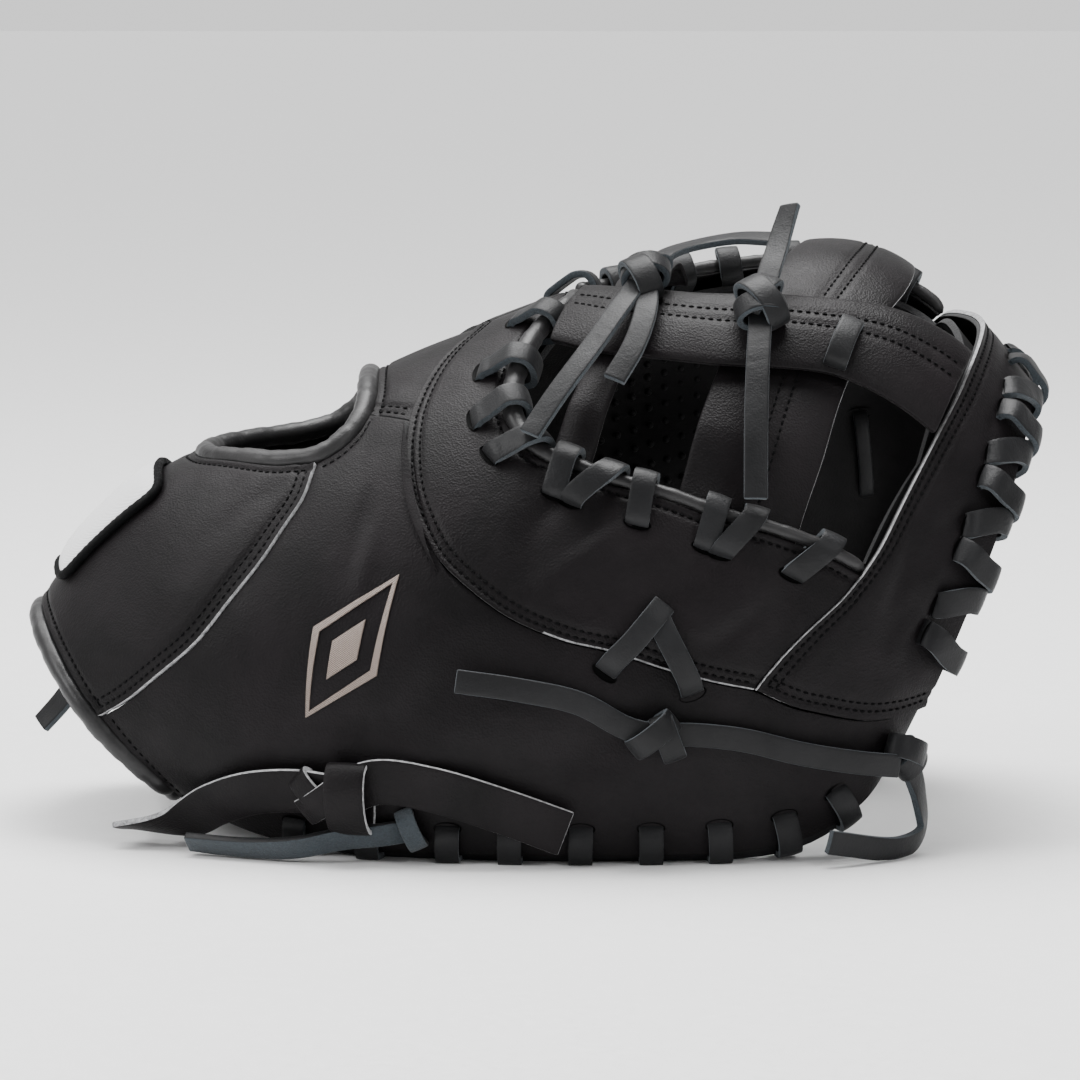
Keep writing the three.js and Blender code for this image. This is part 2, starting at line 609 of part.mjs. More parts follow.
function handBridge() {
  const map = coons({
    bottom: chain([OPENING_HAND_EDGE, 4], [reversed(mirrored(OPENING_HAND_EDGE)), 4]),
    top: chain([reversed(THUMB_SEAM_UPPER), 4], [FINGER_SEAM_UPPER, 4]),
    left: line(SHORT_SEAM),
    right: line(FINGER_SHORT_SEAM),
  });
  return panel(map, 8, 3, zero, () => -LEATHER);
}

// Four ridges run along the finger side, where the finger stalls are.
function fingerBack() {
  const map = coons({
    bottom: chain([[[0, 1], [0.3, 1]], 6], [[[0.3, 1], [0.38, 1]], 3], [[[0.38, 1], [0.41, 1]], 1],
      [[[0.41, 1], [0.905, 1]], 10]),
    top: chain([mirrored(STRAP_EDGE), 6], [mirrored(OPENING_THUMB_EDGE), 3], [FINGER_SHORT_SEAM, 1],
      [FINGER_SEAM, 10]),
    left: line([[0, 1], [0, 0.84]]),
    right: line(reversed(TIP_TO_FINGER)),
  });
  const rows = 9;
  const rim = 1 / rows;
  const ridge = (s, t) => {
    const fade = Math.min(Math.max((s - 0.25) / 0.25, 0), 1) * Math.min((1 - s) * 10, 1);
    return t < rim ? 0 : FINGER_RIDGE * fade * Math.sin((4 * Math.PI * (t - rim)) / (1 - rim)) ** 2;
  };
  return panel(map, 20, rows, ridge, (s, t) => ridge(s, t) - LEATHER);
}

function palm() {
  const columns = PALM_SPOKES.reduce((sum, row) => sum + row.columns, 0);
  const holeOf = (row) => [row.holeAlong, row.holeAround];
  const outerOf = (row) => [row.outerAlong, row.outerAround];
  const spokes = PALM_SPOKES.flatMap((row, i) => {
    const next = PALM_SPOKES[(i + 1) % PALM_SPOKES.length];
    return Array.from({ length: row.columns }, (_, k) => ({
      hole: lerp(holeOf(row), holeOf(next), k / row.columns),
      outer: lerp(outerOf(row), outerOf(next), k / row.columns),
    }));
  });
  const place = (out) => (s, t) => {
    const { hole, outer } = spokes[Math.round(s * columns) % columns];
    return onPalm(lerp(hole, outer, 1 - (1 - t) ** 1.4), out);
  };
  return wall(columns, 5, place(0), place(-PALM_LEATHER), true);
}

// Rolls of leather along edges

// Frames of a roll beside an edge of the shell, with the side that sideOf gives.
function besideEdge({ edge, count, away, depth, sideOf, closed = false }) {
  const places = Array.from({ length: closed ? count : count + 1 }, (_, i) => i / count);
  const points = places.map((t) => onShell(edge(t), depth).addScaledVector(sideOf(t), away));
  return framesFacing(points, places.map((t) => shellFrame(edge(t)).out), closed);
}

// The direction in the leather that leads from an edge into the hole beside it.
function intoHole(edge, centre) {
  return (t) => {
    const after = onShell(edge(Math.min(t + 0.01, 1)), 0);
    const ahead = after.sub(onShell(edge(Math.max(t - 0.01, 0)), 0));
    const side = ahead.cross(shellFrame(edge(t)).out).normalize();
    const towards = onShell(centre, 0).sub(onShell(edge(t), 0));
    return side.dot(towards) < 0 ? side.negate() : side;
  };
}

const OPENING_CENTRE = [0.33, 0.5];
const BINDING_AWAY = BINDING_RADIUS + SEAT_GAP;

function wristBinding() {
  const edge = chain([[[0, 0.012], [0, 0.16]], 5], [[[0, 0.16], [0, 0.84]], 12],
    [[[0, 0.84], [0, 0.988]], 5]);
  const sideOf = (t) => shellFrame(edge(t)).forward.negate();
  const away = BINDING_AWAY + FACET_GAP;
  const frames = besideEdge({ edge, count: 22, away, depth: -LEATHER / 2, sideOf });
  return sweep(frames, roundSection(BINDING_RADIUS, 6));
}

// Stations along the heel of the palm. They step over its two folds, tighter than the roll.
const HEEL_STATIONS = [
  0.055, 0.105, 0.155, 0.345, 0.400, 0.450, 0.500, 0.550, 0.600, 0.655, 0.845, 0.895, 0.945,
];

function heelBinding() {
  const middle = (along, around) => onPalm([along, around], -PALM_LEATHER / 2);
  const ahead = HEEL_STATIONS.map((around) =>
    middle(0.02, around).sub(middle(0, around)).normalize(),
  );
  const away = BINDING_AWAY + 2 * FACET_GAP;
  const points = HEEL_STATIONS.map((around, i) =>
    middle(0, around).addScaledVector(ahead[i], -away),
  );
  return sweep(framesFacing(points, ahead), roundSection(BINDING_RADIUS, 6));
}

function openingBinding() {
  const half = [reversed(OPENING_WRIST_EDGE), OPENING_THUMB_EDGE, OPENING_HAND_EDGE];
  const farHalf = reversed(half).map((part) => reversed(mirrored(part)));
  const edges = [...half, ...farHalf];
  const counts = [6, 3, 4, 4, 3, 6];
  const edge = chain(...edges.map((points, i) => [points, counts[i]]));
  const sideOf = intoHole(edge, OPENING_CENTRE);
  const frames = besideEdge({
    edge, count: 26, away: BINDING_AWAY, depth: -LEATHER / 2, sideOf, closed: true,
  });
  return sweep(frames, roundSection(BINDING_RADIUS, 6), true);
}

const WELT_RUN_IN = 2;
const WELT_AWAY = WELT_RADIUS + SEAT_GAP + FACET_GAP / 2;
const THUMB_WELT_SIDE = [0.72, 0.36];
const FINGER_WELT_SIDE = [0.72, 0.48];

function weltRoll(points, centre, from, to, count) {
  const whole = line(points);
  const edge = (t) => whole(from + (to - from) * t);
  const frames = besideEdge({ edge, count, away: WELT_AWAY, depth: 0, sideOf: intoHole(edge, centre) });
  return sweep(frames, roundSection(WELT_RADIUS, 6));
}

// Web

function webPost() {
  const lower = line(POST_LOWER_EDGE);
  const upper = line(POST_UPPER_EDGE);
  const under = SEAT_GAP + FACET_GAP;
  const place = (height) => (s, t) => onShell(lerp(lower(s), upper(s), t), height(t));
  const crown = (t) => under + POST_THICK - POST_ARCH + POST_ARCH * Math.sin(Math.PI * t) ** 0.5;
  return wall(12, 4, place(crown), place(() => under));
}

function crossbar(wristEdge, tipEdge) {
  const wristSide = line(wristEdge);
  const tipSide = line(tipEdge);
  const place = (out) => (s, t) => onShell(lerp(wristSide(t), tipSide(t), s), out);
  return wall(3, 12, place(0), place(-CROSSBAR_THICK));
}

// Lacing

// The place that lies some millimetres in from a place on the rim, square to the rim.
function squareIn(place, side, distance) {
  const step = 0.01;
  const [along, around] = place;
  const base = shellBase(along, around);
  const signA = along > 0.5 ? -1 : 1;
  const signV = around > 0.5 ? -1 : 1;
  const byAlong = shellBase(along + signA * step, around).sub(base);
  const byAround = shellBase(along, around + signV * step).sub(base);
  const { out } = shellFrame(place);
  const rim = side.clone().cross(out);
  const [ax, ay] = [byAlong.dot(rim), -byAlong.dot(side)];
  const [bx, by] = [byAround.dot(rim), -byAround.dot(side)];
  const whole = ax * by - bx * ay;
  const byWhole = (step * distance) / whole;
  return [along - signA * bx * byWhole, around + signV * ax * byWhole];
}

// One stitch: on the back leather, over the edge and back on the palm. side leads off the
// edge, and step is how high the panel stands there.
function stitch(edgeAt, side, step) {
  const { out } = shellFrame(edgeAt);
  const shell = shellBase(...edgeAt);
  const inwardAt = squareIn(edgeAt, side, STITCH_REACH);
  const high = step + LACE_OUT;
  const low = -LAYER_GAP - PALM_LEATHER - LACE_OUT - PALM_CLEARANCE;
  const beside = (height, away) =>
    shell.clone().addScaledVector(out, height).addScaledVector(side, away);
  const corner = SEAT_GAP + FACET_GAP;
  const points = [
    onShell(inwardAt, high),
    beside(high, corner),
    beside((high + low) / 2, corner + LACE_OUT),
    beside(low, corner),
    onPalm(inwardAt, low + LAYER_GAP),
  ];
  return sweep(framesInPlane(points, out.clone().cross(side).normalize()), LACE_SECTION);
}

// The run of the lace between the two leathers, which joins its stitches.
function hiddenRun(edge, count, sideOf) {
  const frames = Array.from({ length: count + 1 }, (_, i) => {
    const place = edge(i / count);
    return { at: onShell(place, -LACE_DEPTH), across: sideOf(place), up: shellFrame(place).out };
  });
  const half = LACE_THICK / 2;
  return sweep(frames, rectangle(-LACE_WIDTH / 2, LACE_OUT + SEAT_GAP, -half, half));
}

function rimLace(around, places) {
  const sideOf = (place) => {
    const { forward, out } = shellFrame(place);
    return (around ? out.cross(forward) : forward.cross(out)).normalize();
  };
  const stitches = places.map((along) => stitch([along, around], sideOf([along, around]), 0));
  const from = places[0] - 0.01;
  const to = places[places.length - 1] + 0.01;
  const edge = (t) => [from + (to - from) * t, around];
  return flattened(fuse([hiddenRun(edge, 16, sideOf), ...stitches]));
}

function tipRimLace() {
  const sideOf = (place) => {
    const { over, out } = shellFrame(place);
    return over.cross(out).normalize();
  };
  const step = TIP_STEP + SEAT_GAP;
  const stitches = TIP_STITCHES.map((around) => stitch([1, around], sideOf([1, around]), step));
  const from = TIP_STITCHES[0] - 0.012;
  const to = TIP_STITCHES[TIP_STITCHES.length - 1] + 0.012;
  const edge = (t) => [1, from + (to - from) * t];
  return fuse([hiddenRun(edge, 14, sideOf), ...stitches]);
}

// A lace that whips a welt to the web: each stitch goes over the welt and back under the panel.
function weltLace(points, centre, places) {
  const edge = line(points);
  const into = intoHole(edge, centre);
  const over = WEB_PANEL_STEP + LACE_OUT;
  const under = -LACE_DEPTH;
  const loops = places.map((t) => {
    const { out } = shellFrame(edge(t));
    const side = into(t);
    const base = shellBase(...edge(t));
    const at = (height, away) => base.clone().addScaledVector(out, height).addScaledVector(side, away);
    const path = [
      at(over, -STITCH_REACH),
      at(WELT_RADIUS + LACE_OUT + WELT_CLEARANCE, WELT_AWAY - FACET_GAP),
      at(0, WELT_AWAY + WELT_RADIUS + LACE_OUT + WELT_CLEARANCE / 1.5),
      at(under, WELT_AWAY),
      at(under, -LACE_WIDTH / 2),
    ];
    return sweep(framesInPlane(path, out.clone().cross(side).normalize()), LACE_SECTION);
  });
  const from = places[0] - 0.02;
  const to = places[places.length - 1] + 0.02;
  const steps = 12;
  const frames = Array.from({ length: steps + 1 }, (_, i) => {
    const t = from + ((to - from) * i) / steps;
    return { at: onShell(edge(t), under), across: into(t), up: shellFrame(edge(t)).out };
  });
  const run = LACE_SECTION.map(([across, up]) => [across - WELT_RUN_IN, up]);
  return fuse([sweep(frames, run), ...loops]);
}

const routePoint = ({ along, around, out, ahead, rise }) => {
  const shift = new THREE.Vector3(ahead, 0, rise).multiplyScalar(LOOSE_REACH);
  return onShell([along, around], out * LOOSE_REACH).add(shift);
};

// A loose end of lace or strap along one of the routes.
function looseEnd(rows, width, thick, steps) {
  const curve = new THREE.CatmullRomCurve3(rows.map(routePoint), false, "centripetal");
  const points = curve.getSpacedPoints(steps);
  const ups = points.map((_, i) => {
    const position = (i / steps) * (rows.length - 1);
    const k = Math.min(Math.floor(position), rows.length - 2);
    const { along, around } = rows[k];
    return shellFrame(lerp([along, around], [rows[k + 1].along, rows[k + 1].around], position - k)).out;
  });
  return sweep(framesFacing(points, ups), thong(width, thick));
}

// The band of a knot: a flat ring round the start of a loose end.
function knotBand(rows, width, thick) {
  const at = routePoint(rows[0]);
  const ahead = routePoint(rows[1]).sub(at).normalize();
  const across = ahead.clone().cross(shellFrame([rows[0].along, rows[0].around]).out).normalize();
  const up = across.clone().cross(ahead);
  const sides = 6;
  const frames = Array.from({ length: sides }, (_, k) => {
    const angle = (2 * Math.PI * (k + 0.5)) / sides;
    const spoke = across.clone().multiplyScalar(Math.cos(angle) * (width / 2 + thick / 2));
    spoke.addScaledVector(up, Math.sin(angle) * thick * 1.6);
    return { at: at.clone().add(spoke), across: ahead, up: spoke.clone().normalize() };
  });
  return sweep(frames, thong(width, thick), true);
}

function knotted(routes, width, thick) {
  const ends = routes.map((rows) => looseEnd(rows, width, thick, 7));
  return fuse([...ends, knotBand(routes[0], width, thick)]);
}

function patch() {
  const low = STRAP_STEP + SEAT_GAP + FACET_GAP;
  const [from, to] = PATCH_CORNERS;
  const at = (s, t) => [lerp(from, to, s)[0], lerp(from, to, t)[1]];
  const place = (out) => (s, t) => onShell(at(s, t), out);
  return wall(3, 4, place(low + PATCH_THICK), place(low));
}

const mitt = new THREE.Group();

function add(name, colour, geometry) {
  const material = new THREE.MeshStandardMaterial({ color: colour, roughness: 0.6, metalness: 0 });
  const mesh = new THREE.Mesh(geometry, material);
  mesh.name = name;
  mitt.add(mesh);
}

add("palm", BLACK, palm());
add("thumb_back", BLACK, thumbBack());
add("finger_back", BLACK, fingerBack());
add("hand_bridge", BLACK, handBridge());
add("wrist_strap", BLACK, wristStrap());
add("thumb_web_panel", BLACK, thumbWebPanel());
add("finger_web_panel", BLACK, fingerWebPanel());
add("tip_panel", BLACK, tipPanel());
add("wrist_binding", BINDING_BLACK, wristBinding());
add("heel_binding", BINDING_BLACK, heelBinding());
add("opening_binding", BINDING_BLACK, openingBinding());
add("thumb_welt", BINDING_BLACK, weltRoll(THUMB_WELT, THUMB_WELT_SIDE, 0.03, 0.97, 25));
add("finger_welt", BINDING_BLACK, weltRoll(FINGER_WELT, FINGER_WELT_SIDE, 0.04, 0.97, 20));
add("web_post", BLACK, webPost());
add("small_crossbar", BLACK, crossbar(SMALL_BAR_WRIST_EDGE, SMALL_BAR_TIP_EDGE));
add("wide_crossbar", BLACK, crossbar(WIDE_BAR_WRIST_EDGE, WIDE_BAR_TIP_EDGE));
add("thumb_web_lace", LACE_BLACK, weltLace(THUMB_WELT, THUMB_WELT_SIDE, THUMB_WEB_STITCHES));
add("finger_web_lace", LACE_BLACK, weltLace(FINGER_WELT, FINGER_WELT_SIDE, FINGER_WEB_STITCHES));
add("thumb_rim_lace", LACE_BLACK, rimLace(0, THUMB_RIM_STITCHES));
add("finger_rim_lace", LACE_BLACK, rimLace(1, FINGER_RIM_STITCHES));
add("tip_rim_lace", LACE_BLACK, tipRimLace());
add("heel_strap", LACE_BLACK, knotted(
  [HEEL_STRAP_WRIST_END, HEEL_STRAP_TIP_END], STRAP_WIDTH, STRAP_THICK));
add("heel_lace", LACE_BLACK, looseEnd(HEEL_LACE, LACE_WIDTH, LACE_THICK, 6));
add("thumb_lace", LACE_BLACK, knotted(
  [THUMB_LACE_WRIST_END, THUMB_LACE_TIP_END], LACE_WIDTH, LACE_THICK));
add("cross_lace", LACE_BLACK, fuse([CROSS_LACE_RISING, CROSS_LACE_FALLING].map((rows) =>
  looseEnd(rows, LACE_WIDTH, LACE_THICK, 4))));
add("tip_lace", LACE_BLACK, knotted([TIP_LACE], LACE_WIDTH, LACE_THICK));
add("crotch_lace", LACE_BLACK, knotted(
  [CROTCH_LACE_LONG_END, CROTCH_LACE_SHORT_END, CROTCH_LACE_FAR_END], LACE_WIDTH, LACE_THICK));
add("post_lace", LACE_BLACK, knotted(
  [POST_LACE_LOW_END, POST_LACE_HIGH_END], LACE_WIDTH, LACE_THICK));
add("post_loop", LACE_BLACK, looseEnd(POST_LOOP, LACE_WIDTH, LACE_THICK, 3));
add("wrist_lace", LACE_BLACK, looseEnd(WRIST_LACE, LACE_WIDTH, LACE_THICK, 4));
add("patch", PALE_GREY, patch());

const box = new THREE.Box3().setFromObject(mitt);
mitt.position.set(-(box.min.x + box.max.x) / 2, -(box.min.y + box.max.y) / 2, -box.min.z);

export default mitt;
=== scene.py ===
"""Looks of a first baseman mitt that lies pocket down on its rim.

The leather follows one shell, an arch from the thumb rim (around = 0) over the crown
(around = 0.5) to the finger rim (around = 1), at each station from the wrist (along = 0) to
the tip (along = 1). Shapes are worked out in millimetres on that shell and made in metres.
"""

from __future__ import annotations

import logging
import math
from dataclasses import dataclass, field
from enum import Enum
from typing import Callable, Sequence

import bmesh
import bpy
import numpy as np
from mathutils import Matrix, Vector

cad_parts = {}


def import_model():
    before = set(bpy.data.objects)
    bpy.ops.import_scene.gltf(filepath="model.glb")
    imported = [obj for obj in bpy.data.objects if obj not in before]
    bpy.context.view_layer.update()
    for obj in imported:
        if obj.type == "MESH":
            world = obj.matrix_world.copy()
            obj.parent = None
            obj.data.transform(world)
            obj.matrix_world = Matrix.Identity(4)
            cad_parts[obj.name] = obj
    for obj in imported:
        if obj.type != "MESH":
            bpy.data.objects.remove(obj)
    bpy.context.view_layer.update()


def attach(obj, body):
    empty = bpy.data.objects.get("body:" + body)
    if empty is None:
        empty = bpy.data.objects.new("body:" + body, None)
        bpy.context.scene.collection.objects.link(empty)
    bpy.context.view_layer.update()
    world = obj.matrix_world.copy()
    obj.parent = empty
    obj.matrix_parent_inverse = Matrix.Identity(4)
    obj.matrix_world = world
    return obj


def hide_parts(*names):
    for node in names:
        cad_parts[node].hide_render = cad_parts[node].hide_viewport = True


log = logging.getLogger("mitt")

MM = 0.001

# Sizes in millimetres, as the solids have them
LENGTH = 300.0
HEIGHT = 180.0
HALF_WIDTH = 90.0
LEATHER = 2.4
PALM_LEATHER = 2.2
LACE_WIDTH = 7.0
LACE_THICK = 2.0
SEAT_GAP = 0.35
FACET_GAP = 0.6
SEAM_GAP = 0.3
LAYER_GAP = LEATHER + LACE_THICK + 2 * SEAT_GAP + FACET_GAP
LACE_DEPTH = (LEATHER + LAYER_GAP) / 2
BINDING_RADIUS = 3.1
WELT_RADIUS = 1.9
WELT_AWAY = WELT_RADIUS + SEAT_GAP + FACET_GAP / 2
LOOSE_REACH = 10.0
# How far a hole's dark oval, its painted shadow, stands off the shell, just clear of the web's leather
EYELET_OUT = 1.62
# From the shell's own middle to the middle of the mitt's box
CENTRING = np.array([1.1657, -4.8259, 0.0])
ARCH_POWER = 0.9
STALL_FROM = 0.12
# How deep and wide a seam pulls the leather in, and how its padding and dents fade in beside it
GROOVE_DEPTH = 0.65
GROOVE_WIDTH = 0.95
PADDING_REACH = 9.0
DENTS_FROM = 1.5
DENTS_FADE = 12.0

Places = np.ndarray
Points = np.ndarray
Shares = Sequence[Sequence[float]]


@dataclass(frozen=True)
class Table:
    """Rows of numbers under named columns, read smoothly between the rows."""

    columns: tuple[str, ...]
    rows: tuple[tuple[float, ...], ...]

    def value(self, name: str, at: Points) -> Points:
        """Reads a column.

        Args:
            name: The column.
            at: Stations, along the first column.

        Returns:
            The column's value at each station.
        """
        grid = np.array(self.rows)
        xs, ys = grid[:, 0], grid[:, self.columns.index(name)]
        last = len(xs) - 1
        before, after = np.maximum(np.arange(last + 1) - 1, 0), np.minimum(np.arange(last + 1) + 1, last)
        slope = (ys[after] - ys[before]) / (xs[after] - xs[before])
        at = np.clip(at, xs[0], xs[-1])
        i = np.clip(np.searchsorted(xs, at, side="left") - 1, 0, last - 1)
        step = xs[i + 1] - xs[i]
        t = (at - xs[i]) / step
        t2, t3 = t * t, t * t * t
        return (
            (2 * t3 - 3 * t2 + 1) * ys[i]
            + (t3 - 2 * t2 + t) * step * slope[i]
            + (3 * t2 - 2 * t3) * ys[i + 1]
            + (t3 - t2) * step * slope[i + 1]
        )


SECTIONS = Table(
    (
        "at", "base_x", "base_z", "near_y", "crown_x", "crown_z", "crown_y", "far_y", "near_bulge",
        "far_bulge", "bow",
    ),
    (
        (0.00, -0.356, 0.061, -0.50, -0.516, 0.379, 0.02, 0.56, 0.067, 0.067, 0.010),
        (0.10, -0.281, 0.022, -0.64, -0.460, 0.497, 0.02, 0.67, 0.078, 0.078, 0.006),
        (0.20, -0.206, 0.011, -0.76, -0.390, 0.598, 0.03, 0.78, 0.089, 0.089, 0.003),
        (0.32, -0.120, 0.010, -0.84, -0.276, 0.691, 0.06, 0.88, 0.100, 0.100, 0.0),
        (0.45, -0.015, 0.010, -0.89, -0.125, 0.804, 0.09, 0.96, 0.111, 0.111, 0.0),
        (0.60, 0.108, 0.010, -0.89, 0.063, 0.919, 0.16, 1.02, 0.111, 0.111, 0.0),
        (0.72, 0.202, 0.016, -0.86, 0.204, 0.981, 0.22, 1.04, 0.100, 0.100, 0.0),
        (0.82, 0.270, 0.036, -0.81, 0.325, 0.991, 0.27, 1.02, 0.078, 0.089, 0.0),
        (0.91, 0.325, 0.088, -0.73, 0.419, 0.919, 0.24, 0.96, 0.056, 0.067, 0.0),
        (1.00, 0.360, 0.165, -0.62, 0.508, 0.743, 0.16, 0.82, 0.022, 0.033, -0.007),
    ),
)

PALM = Table(
    ("at", "drop", "near_stall", "far_stall", "near_end", "far_end"),
    (
        (0.00, 0.34, 0.20, 0.22, 1.00, 1.00),
        (0.15, 0.33, 0.26, 0.28, 1.00, 1.00),
        (0.30, 0.27, 0.30, 0.32, 1.00, 1.00),
        (0.42, 0.14, 0.30, 0.34, 0.95, 1.00),
        (0.52, 0.03, 0.27, 0.33, 0.80, 0.96),
        (0.65, 0.00, 0.22, 0.30, 0.58, 0.92),
        (0.80, 0.00, 0.14, 0.22, 0.46, 0.88),
        (0.92, 0.00, 0.02, 0.04, 0.40, 0.80),
        (1.00, 0.00, 0.00, 0.00, 0.40, 0.80),
    ),
)


class Hide:
    """The surfaces that the leather follows, in millimetres. A place is a pair of shares."""

    STEP = 0.004

    @staticmethod
    def arch(place: Places, drop: Points, thickness: Points, end: Points) -> Points:
        """Points of an arch.

        Args:
            place: Shares (along, around), one row each.
            drop: How far the crown is lowered.
            thickness: How far a stall pushes the wall in at most.
            end: The height share at which the stall ends.

        Returns:
            One point for each place.
        """
        along, around = place[..., 0], place[..., 1]

        def value(name: str) -> Points:
            """One column of the sections."""
            return SECTIONS.value(name, along)

        near = around < 0.5
        angle = np.where(near, around, 1 - around) * math.pi
        height = np.clip(np.sin(angle), 0, None) ** ARCH_POWER
        inward = 1 - np.clip(np.cos(angle), 0, None) ** ARCH_POWER
        wall = np.where(near, value("near_y"), value("far_y")) * HALF_WIDTH
        bulge = np.where(near, -value("near_bulge"), value("far_bulge")) * HALF_WIDTH
        delta_x = (value("crown_x") - value("base_x")) * LENGTH
        delta_z = (value("crown_z") - value("base_z")) * HEIGHT
        span = np.hypot(delta_x, delta_z)
        risen = height * (1 - drop / span)
        bowed = value("bow") * LENGTH * np.sin(math.pi * height) / span
        share = (height - STALL_FROM) / (end - STALL_FROM)
        stall = np.where((share > 0) & (share < 1), thickness * np.sin(math.pi * share) ** 2, 0)
        y = wall + inward * (value("crown_y") * HALF_WIDTH - wall) + bulge * np.sin(math.pi * height)
        return np.stack(
            [
                value("base_x") * LENGTH + risen * delta_x - bowed * delta_z,
                y + np.where(near, stall, -stall),
                value("base_z") * HEIGHT + risen * delta_z + bowed * delta_x,
            ],
            axis=-1,
        )

    @classmethod
    def shell(cls, place: Places) -> Points:
        """Points of the outer shell."""
        none = np.zeros(place.shape[:-1])
        return cls.arch(place, none, none, none + 1)

    @classmethod
    def inner(cls, place: Places) -> Points:
        """Points of the arch that the palm follows."""
        along, around = place[..., 0], place[..., 1]
        near = around < 0.5
        stall = np.where(near, PALM.value("near_stall", along), PALM.value("far_stall", along))
        end = np.where(near, PALM.value("near_end", along), PALM.value("far_end", along))
        return cls.arch(place, np.maximum(PALM.value("drop", along), 0) * HEIGHT, stall * HALF_WIDTH, end)

    @classmethod
    def axes(cls, place: Places, surface: Callable[[Places], Points]) -> tuple[Points, Points, Points]:
        """Directions on a surface.

        Args:
            place: Shares (along, around).
            surface: The surface.

        Returns:
            Unit vectors forward to the tip, over to the finger side, and out of the leather.
        """
        directions = []
        for k in range(2):
            low, high = place.copy(), place.copy()
            low[..., k] = np.maximum(place[..., k] - cls.STEP, 0)
            high[..., k] = np.minimum(place[..., k] + cls.STEP, 1)
            directions.append(unit(surface(high) - surface(low)))
        forward, over = directions
        return forward, over, unit(np.cross(forward, over))

    @classmethod
    def on_shell(cls, place: Places, out: Points | float) -> Points:
        """Points that stand some millimetres off the shell."""
        return cls.shell(place) + cls.axes(place, cls.shell)[2] * np.asarray(out)[..., None]

    @classmethod
    def on_palm(cls, place: Places, out: Points | float) -> Points:
        """Points that stand some millimetres off the palm leather."""
        layer = cls.inner(place) - cls.axes(place, cls.shell)[2] * LAYER_GAP
        return layer + cls.axes(place, cls.inner)[2] * np.asarray(out)[..., None]


def unit(vectors: Points) -> Points:
    """Vectors of length one."""
    return vectors / np.maximum(np.linalg.norm(vectors, axis=-1, keepdims=True), 1e-12)


def smooth_line(points: Points, per_span: int = 40) -> Points:
    """A smooth line through points, of many short steps.

    Args:
        points: The points, one row each.
        per_span: Steps between two points.

    Returns:
        The line's points, at even lengths.
    """
    points = np.asarray(points, float)
    ends = np.vstack([2 * points[0] - points[1], points, 2 * points[-1] - points[-2]])
    fine = []
    for k in range(1, len(ends) - 2):
        a, b, c, d = ends[k - 1], ends[k], ends[k + 1], ends[k + 2]
        before, here, after = (max(np.linalg.norm(q - p) ** 0.5, 1e-4) for p, q in ((a, b), (b, c), (c, d)))
        start = ((b - a) / before - (c - a) / (before + here) + (c - b) / here) * here
        finish = ((c - b) / here - (d - b) / (here + after) + (d - c) / after) * here
        t = np.linspace(0, 1, per_span, endpoint=False)[:, None]
        second, third = 3 * (c - b) - 2 * start - finish, 2 * (b - c) + start + finish
        fine.append(b + start * t + second * t**2 + third * t**3)
    fine = np.vstack([*fine, ends[-2][None]])
    return evenly(fine, len(fine))


def lengths_along(points: Points, axis: int = 0) -> Points:
    """How far each point is along its line, or along each line of a grid."""
    steps = np.linalg.norm(np.diff(points, axis=axis), axis=-1)
    return np.concatenate([np.zeros_like(steps.take([0], axis)), np.cumsum(steps, axis=axis)], axis=axis)


def read_along(line: Points, lengths: Points, at: Points) -> Points:
    """The points of a line at some lengths along it."""
    return np.stack([np.interp(at, lengths, column) for column in line.T], axis=1)


def evenly(line: Points, count: int) -> Points:
    """The same line with a number of points at even lengths."""
    lengths = lengths_along(line)
    return read_along(line, lengths, np.linspace(0, lengths[-1], count))


class Edge:
    """A smooth line through shares, read from 0 to 1. Parts of it may have their own columns."""

    def __init__(self, *parts: tuple[Shares, int]) -> None:
        """Takes pairs of points and a number of columns, one after another."""
        self.lines = [smooth_line(np.array(points)) for points, _ in parts]
        self.counts = [count for _, count in parts]
        self.total = sum(self.counts)

    def __call__(self, t: Points) -> Places:
        """The places at shares of the whole line."""
        rest = np.clip(np.asarray(t, float), 0, 1) * self.total
        placed = np.zeros((*rest.shape, 2))
        start = 0
        for line, count in zip(self.lines, self.counts):
            inside = (rest >= start) & (rest <= start + count)
            share = np.clip((rest - start) / count, 0, 1) * (len(line) - 1)
            for k in range(2):
                read = np.interp(share, np.arange(len(line)), line[:, k])
                placed[..., k] = np.where(inside, read, placed[..., k])
            start += count
        return placed


def edge(points: Shares) -> Edge:
    """An edge of one part."""
    return Edge((points, 1))


def mirrored(points: Shares) -> list[tuple[float, float]]:
    """The same edge on the other side of the crown."""
    return [(along, 1 - around) for along, around in points]


# Edges of the panels, as shares (along, around)
STRAP_EDGE = (
    (0.000, 0.160), (0.050, 0.168), (0.105, 0.182), (0.175, 0.200), (0.225, 0.225), (0.275, 0.255),
    (0.305, 0.280), (0.333, 0.307), (0.352, 0.344),
)
OPENING_WRIST_EDGE = ((0.352, 0.344), (0.317, 0.362), (0.280, 0.400), (0.246, 0.450), (0.235, 0.500))
OPENING_THUMB_EDGE = ((0.352, 0.344), (0.372, 0.348), (0.392, 0.362), (0.404, 0.382))
OPENING_HAND_EDGE = ((0.404, 0.382), (0.411, 0.410), (0.414, 0.450), (0.415, 0.500))
SHORT_SEAM = ((0.404, 0.382), (0.435, 0.350))
THUMB_SEAM_UPPER = ((0.500, 0.500), (0.490, 0.470), (0.468, 0.430), (0.448, 0.385), (0.435, 0.350))
THUMB_SEAM = (
    (0.435, 0.350), (0.427, 0.315), (0.422, 0.273), (0.425, 0.238), (0.435, 0.205), (0.458, 0.175),
    (0.487, 0.150), (0.532, 0.128), (0.578, 0.115), (0.628, 0.100), (0.682, 0.088), (0.730, 0.080),
)
